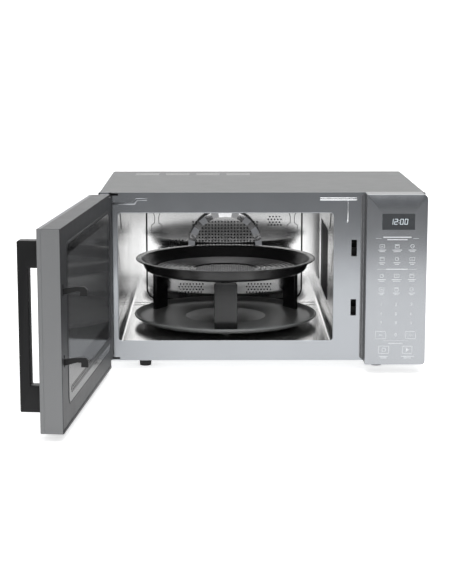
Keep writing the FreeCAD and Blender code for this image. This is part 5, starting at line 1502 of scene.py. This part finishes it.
@dataclass
class Controls:
    """The control panel: fascia, lens, lit digits and printed keys."""

    housing: Box = field(default_factory=lambda: sized(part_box("control_housing")))
    fascia: Box = field(default_factory=lambda: sized(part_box("control_fascia")))
    lens: Box = field(default_factory=lambda: sized(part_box("display_lens")))
    column_offsets: Sequence[float] = (25.6, 50.1, 75.1)
    face_depth: float = 3.0
    ink: float = 0.1
    digit: Span = (4.4, 8.4)
    stroke: float = 0.8
    lean: float = 0.1
    digit_starts: Sequence[float] = (-14.6, -7.3, 2.0, 9.3)
    number_rows: Sequence[tuple[float, str]] = ((116.3, "123"), (100.5, "456"), (85.4, "789"))
    function_rows: Sequence[float] = (213.0, 192.0, 164.0, 141.5)
    frames: Sequence[tuple[Span, Span]] = (((187.0, 204.6), (58.5, 71.5)), ((236.5, 254.0), (58.5, 71.5)),
                                           ((192.5, 210.0), (33.8, 46.6)), ((232.1, 248.4), (33.8, 46.6)))

    def build(self) -> None:
        """Builds the panel face and its print."""
        dressed(PALETTE.panel_side, "control_housing")
        dressed(PALETTE.lens, "display_lens")
        dressed(PALETTE.black, "display_module")
        self.columns = [self.fascia[0].x + offset for offset in self.column_offsets]
        self.on_face = shifted(y=self.fascia[0].y) @ Facing.FRONT.value
        self.panel_face()
        self.clock()
        self.printed("number_keys", self.number_keys())
        self.printed("framed_keys", self.framed_keys())
        self.printed("function_keys", self.function_keys())
        self.printed("headings", self.headings())
        self.flange_edges()
        self.panel_trim()

    def printed(self, name: str, marks: Iterable[Mesh]) -> None:
        """Puts marks on the panel as one printed piece."""
        finished(name, merged(marks), Body.CABINET, PALETTE.print, place=self.on_face)

    def panel_trim(self) -> None:
        """A fine painted highlight round the edge of the panel face."""
        low, high = self.fascia
        inset = 0.75
        path = rounded_path((low.x + inset, high.x - inset), (low.z + inset, high.z - inset), 6.5)
        # Painted highlight: a pale bead for the light along the face's edge.
        trim = bead([(u, low.y + inset, v) for u, v in path], 0.6, True)
        finished("panel_trim", trim, Body.CABINET, PALETTE.bright)

    def flange_edges(self) -> None:
        """The two rolled edges of the flange between the panel and the front sheet, pale as painted
        highlights.
        """
        low, high = self.housing
        y = sized(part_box("front_plate"))[0].y - 0.4
        edges = [bead([(low.x + across, y, low.z + 8.0), (low.x + across, y, high.z - 8.0)], 0.45)
                 for across in (0.9, 4.6)]
        # Painted highlight: pale beads for the light on the rolled edges.
        finished("flange_edges", merged(edges), Body.CABINET, PALETTE.bright)

    def panel_face(self) -> None:
        """The moulded face, soft-edged, open where the lens sits."""
        low, high = self.fascia
        left, right, bottom, top = self.lens[0].x, self.lens[1].x, self.lens[0].z, self.lens[1].z

        def loops(mesh: Mesh) -> Edges:
            """The face's edge and the lens seat."""
            edges = outline(mesh, (low.x, high.x), (low.z, high.z), (1.5, 6.0, 8.0, 1.5))
            return edges + outline(mesh, (left, right), (bottom, top), 0.5)

        def outside(middle: Vector) -> bool:
            """Whether a place is on the front edge and not at the lens seat."""
            seated = left - 1 < middle.x < right + 1 and bottom - 1 < middle.y < top + 1
            return middle.z > self.face_depth - 0.01 and not seated

        face = plate(loops, self.face_depth)
        bevelled(face, creased(face, outside), 1.3, 4)
        finished("panel_face", face, Body.CABINET, PALETTE.panel, ("control_fascia",),
                 shifted(y=low.y + self.face_depth) @ Facing.FRONT.value)

    def clock(self) -> None:
        """The lit time, in seven-part digits."""
        low, high = self.lens
        x, z = (low.x + high.x) / 2 + 1.0, (low.z + high.z) / 2
        wide, tall = self.digit
        half = self.stroke / 2
        parts = {"a": (0, 1, 1, 1), "b": (1, 0.5, 1, 1), "c": (1, 0, 1, 0.5), "d": (0, 0, 1, 0),
                 "e": (0, 0, 0, 0.5), "f": (0, 0.5, 0, 1), "g": (0, 0.5, 1, 0.5)}
        shown = {"1": "bc", "2": "abged", "0": "abcdef"}
        bars = []
        for start, character in zip(self.digit_starts, "1200"):
            for part in shown[character]:
                left, bottom, right, top = parts[part]
                foot = z - tall / 2
                bar = block((x + start + left * wide - half, foot + bottom * tall - half, 0),
                            (x + start + right * wide + half, foot + top * tall + half, self.ink), 0.03, 1)
                for vertex in bar.verts:
                    vertex.co.x += (vertex.co.y - z * MM) * self.lean
                bars.append(bar)
        for height in (-1.9, 1.9):
            bars.append(block((x - 0.9, z + height - 0.6, 0), (x + 0.1, z + height + 0.6, self.ink), 0.03, 1))
        finished("clock_digits", merged(bars), Body.CABINET, PALETTE.digits, place=self.on_face)

    def lettered(self, text: str, x: float, z: float, size: float) -> Mesh:
        """A short number as a thin raised mesh in the panel's sketch plane.

        Args:
            text: the digits.
            x: their middle across.
            z: their middle up.
            size: the type size.

        Returns:
            The number's mesh.
        """
        curve = bpy.data.curves.new("number", "FONT")
        curve.body = text
        curve.size = size * MM
        curve.align_x = "CENTER"
        curve.align_y = "CENTER"
        curve.extrude = self.ink / 2 * MM
        curve.resolution_u = 4
        holder = bpy.data.objects.new("number", curve)
        bpy.context.scene.collection.objects.link(holder)
        bpy.context.view_layer.update()
        data = bpy.data.meshes.new_from_object(holder)
        mesh = bmesh.new()
        mesh.from_mesh(data)
        bpy.data.objects.remove(holder)
        bpy.data.meshes.remove(data)
        bmesh.ops.transform(mesh, matrix=shifted(x, z), verts=mesh.verts)
        return mesh

    def number_keys(self) -> list[Mesh]:
        """The ten number keys.

        Returns:
            The marks.
        """
        marks = [self.lettered(digit, x, height, 7.2) for height, digits in self.number_rows
                 for x, digit in zip(self.columns, digits)]
        return marks + [self.lettered("0", self.columns[1], 65.2, 8.0)]

    def frame_mark(self, across: Span, up: Span, line: float = 0.7) -> Mesh:
        """A thin printed frame.

        Args:
            across: its left and right.
            up: its bottom and top.
            line: the width of its line.

        Returns:
            The frame.
        """
        within = ((across[0] + line, across[1] - line), (up[0] + line, up[1] - line))
        return plate(lambda mesh: outline(mesh, across, up, 0.8) + outline(mesh, *within, 0.3), self.ink)

    def bar_mark(self, x: float, z: float, wide: float, tall: float = 0.8) -> Mesh:
        """A thin printed bar centred on a point."""
        return block((x - wide / 2, z - tall / 2, 0), (x + wide / 2, z + tall / 2, self.ink), 0.02, 1)

    def ring_mark(self, x: float, z: float, radius: float, line: float = 0.55) -> Mesh:
        """A thin printed ring.

        Args:
            x: its middle across.
            z: its middle up.
            radius: its outer radius.
            line: the width of its line.

        Returns:
            The ring.
        """
        def loops(mesh: Mesh) -> Edges:
            """The ring's two edges.

            Args:
                mesh: where to draw them.

            Returns:
                Their edges.
            """
            edges = []
            for size in (radius, radius - line):
                made = bmesh.ops.create_circle(mesh, segments=24, radius=size * MM, cap_ends=False,
                                               matrix=shifted(x, z))
                edges += list({edge for vertex in made["verts"] for edge in vertex.link_edges})
            return edges

        return plate(loops, self.ink)

    def framed_keys(self) -> list[Mesh]:
        """The minus, plus, stop and start keys in their frames.

        Returns:
            The marks.
        """
        bars = [(195.8, 65.0, 5.4, 0.8), (245.3, 65.0, 5.4, 0.8), (245.3, 65.0, 0.8, 5.4)]
        return [*(self.frame_mark(*frame) for frame in self.frames), *(self.bar_mark(*bar) for bar in bars),
                self.frame_mark((198.2, 204.3), (37.4, 43.2), 0.6),
                prism([(238.0, 37.0), (243.6, 40.2), (238.0, 43.4)], self.ink)]

    def pictogram(self, kind: Pictogram, x: float, z: float) -> list[Mesh]:
        """One plain pictogram centred on a point.

        Args:
            kind: which one.
            x: its middle across.
            z: its middle up.

        Returns:
            Its marks.
        """
        if kind is Pictogram.TRAY:
            return [self.frame_mark((x - 4.2, x + 4.2), (z - 3.0, z + 3.0), 0.55),
                    self.bar_mark(x, z, 3.6, 0.6)]
        if kind is Pictogram.JAR:
            return [self.frame_mark((x - 3.6, x + 3.6), (z - 3.2, z + 3.4), 0.55),
                    self.bar_mark(x, z + 1.6, 5.2, 0.9)]
        return [self.ring_mark(x, z, 3.2), self.bar_mark(x + 1.4, z + 0.2, 2.0, 0.6)]

    def function_keys(self) -> list[Mesh]:
        """Four rows of plain pictograms, each with two bars in place of its words.

        Returns:
            The marks.
        """
        kinds = list(Pictogram)
        marks = []
        for row, z in enumerate(self.function_rows):
            for column, x in enumerate(self.columns):
                marks += self.pictogram(kinds[(row + column) % len(kinds)], x, z)
                wide = ((13.0, 10.0) if column != 1 else (16.0, 11.0))[row % 2]
                marks += [self.bar_mark(x, z - 6.2, wide, 1.0), self.bar_mark(x, z - 8.8, wide - 4.0, 0.9)]
        return marks

    def headings(self) -> list[Mesh]:
        """The printed rules and heading bars between the groups of keys.

        Returns:
            The marks.
        """
        middle = self.columns[1]
        centred = [(0.0, 228.0, 46.0, 1.7), (0.0, 224.0, 33.0, 1.5), (-30.5, 226.0, 9.0, 0.4),
                   (30.5, 226.0, 9.0, 0.4), (0.0, 175.0, 36.0, 1.5), (-26.0, 175.0, 13.0, 0.4),
                   (26.0, 175.0, 13.0, 0.4), (0.0, 50.9, 24.0, 1.2), (0.0, 55.4, 40.0, 0.4)]
        under_keys = [(201.0, 29.0, 15.0, 1.1), (201.0, 26.4, 10.0, 1.0), (240.5, 29.0, 22.0, 1.1),
                      (240.5, 26.4, 12.0, 1.0)]
        bars = [(middle + x, *rest) for x, *rest in centred] + under_keys
        return [self.bar_mark(*bar) for bar in bars]


@dataclass
class InnerWorks:
    """The hidden electrical and air parts, dressed as they come from their makers, save the convection
    housing and fan blade, which are dark as painted shade.
    """

    sheet: tuple[str, ...] = ("waveguide", "thermal_cutouts", "magnetron", "hv_capacitor")
    shaded: tuple[str, ...] = ("convection_housing", "convection_fan_blade")
    iron: tuple[str, ...] = ("transformer_core", "cooling_fan_motor", "convection_motor")
    dark: tuple[str, ...] = ("cooling_fan_housing", "hv_diode", "door_switches", "touch_foil", "latch_body",
                             "switch_plunger_upper", "switch_plunger_lower")

    def build(self) -> None:
        """Dresses each group."""
        dressed(PALETTE.zinc, *self.sheet)
        dressed(PALETTE.shade_tin, *self.shaded)
        dressed(PALETTE.core, *self.iron)
        dressed(PALETTE.black, *self.dark)
        dressed(PALETTE.white, "cooling_fan_blade")
        dressed(PALETTE.board, "control_board", "noise_filter_board")
        dressed(PALETTE.copper, "transformer_windings")
        dressed(PALETTE.element, "convection_heater")


@dataclass
class Studio:
    """Pale floor and backdrop, soft lights and the camera; places in metres."""

    eye: Colour = (-0.07103, -2.69106, 0.57794)
    pitch: float = math.radians(10.074)
    yaw: float = math.radians(0.266)
    lens: float = 94.51
    sensor: float = 36.0
    far_edge: float = -1.8
    near_edge: float = -1.15
    surround: tuple[float, ...] = (0.2, 0.206, 0.215, 1.0)

    def build(self) -> None:
        """Sets up everything that isn't the oven."""
        self.slab("studio_floor", (-6000, -6000, -20), (6000, 4000, 0), 0.62)
        self.slab("studio_backdrop", (-6000, 4000, -20), (6000, 4020, 5000), 1.0)
        self.lights()
        self.camera()
        bpy.context.scene.view_settings.view_transform = "Standard"

    def slab(self, name: str, low: Colour, high: Colour, shine: float) -> None:
        """A pale, glowing slab, with painted shade that takes it to grey well in front of the oven.

        Args:
            name: the slab's name.
            low: its lower corner, in millimetres.
            high: its upper corner, in millimetres.
            shine: how much light it gives off near the oven.
        """
        shade = Shade(name)
        # Painted shade: colour and glow fall off with distance in front of the oven.
        near = shade.axis(1).eased(self.far_edge, self.near_edge)
        material = shade.finish({
            "Base Color": shade.blend(near, (0.3,) * 3, (0.9,) * 3),
            "Roughness": 0.9,
            "Emission Color": shade.blend(near, (0.05,) * 3, (shine,) * 3),
            "Emission Strength": 1.0,
        })
        mesh = block(low, high)
        data = bpy.data.meshes.new(name)
        mesh.to_mesh(data)
        mesh.free()
        data.materials.append(material)
        slab = bpy.data.objects.new(name, data)
        bpy.context.scene.collection.objects.link(slab)

    def soft_light(self, name: str, place: Colour, aim: Colour, size: Span, power: float) -> None:
        """A soft rectangular light.

        Args:
            name: the light's name.
            place: where it hangs.
            aim: the point that it faces.
            size: its width and height.
            power: its power in watts.
        """
        lamp = bpy.data.lights.new(name, "AREA")
        lamp.shape = "RECTANGLE"
        lamp.size, lamp.size_y = size
        lamp.energy = power
        holder = bpy.data.objects.new(name, lamp)
        holder.location = place
        holder.rotation_mode = "QUATERNION"
        holder.rotation_quaternion = (Vector(aim) - Vector(place)).to_track_quat("-Z", "Y")
        bpy.context.scene.collection.objects.link(holder)

    def lights(self) -> None:
        """Softboxes above and in front, a glow in the cavity and an even grey surround."""
        world = bpy.data.worlds.new("surround")
        bpy.context.scene.world = world
        world.use_nodes = True
        background = world.node_tree.nodes["Background"]
        background.inputs["Color"].default_value = self.surround
        background.inputs["Strength"].default_value = 1.0
        self.soft_light("overhead_softbox", (0.0, -0.3, 2.1), (0.0, 0.0, 0.0), (2.4, 1.6), 34.0)
        self.soft_light("high_softbox", (0.0, -3.8, 2.3), (0.0, 0.0, 0.15), (3.0, 1.2), 22.0)
        self.soft_light("front_softbox", (0.0, -4.6, 1.3), (0.0, 0.0, 0.15), (3.0, 0.95), 20.0)
        self.soft_light("cavity_glow", (-0.06, -0.03, 0.262), (-0.06, 0.02, 0.0), (0.3, 0.28), 0.4)

    def camera(self) -> None:
        """The camera in front of the oven, looking slightly down."""
        data = bpy.data.cameras.new("camera")
        data.lens = self.lens
        data.sensor_width = self.sensor
        camera = bpy.data.objects.new("camera", data)
        camera.location = self.eye
        camera.rotation_euler = (math.radians(90) - self.pitch, 0.0, -self.yaw)
        bpy.context.scene.collection.objects.link(camera)
        bpy.context.scene.camera = camera


def main() -> None:
    """Loads the frame and builds every sub-assembly."""
    logging.basicConfig(level=logging.INFO, format="%(name)s: %(message)s")
    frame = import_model()
    hinge = next(joint for joint in frame["joints"] if joint["name"] == "door_hinge")
    swing = math.radians(hinge["range_deg"][1])
    pivot = Matrix.Translation((hinge["pos_m"][0], hinge["pos_m"][1], 0.0))
    door = Door(pivot @ Matrix.Rotation(-swing, 4, "Z"), swing)
    for part in (Studio(), Case(), Cavity(), Turntable(), CrispPan(), door, Controls(), InnerWorks()):
        part.build()
        LOG.info("%s built", type(part).__name__)


if __name__ == "__main__":
    main()
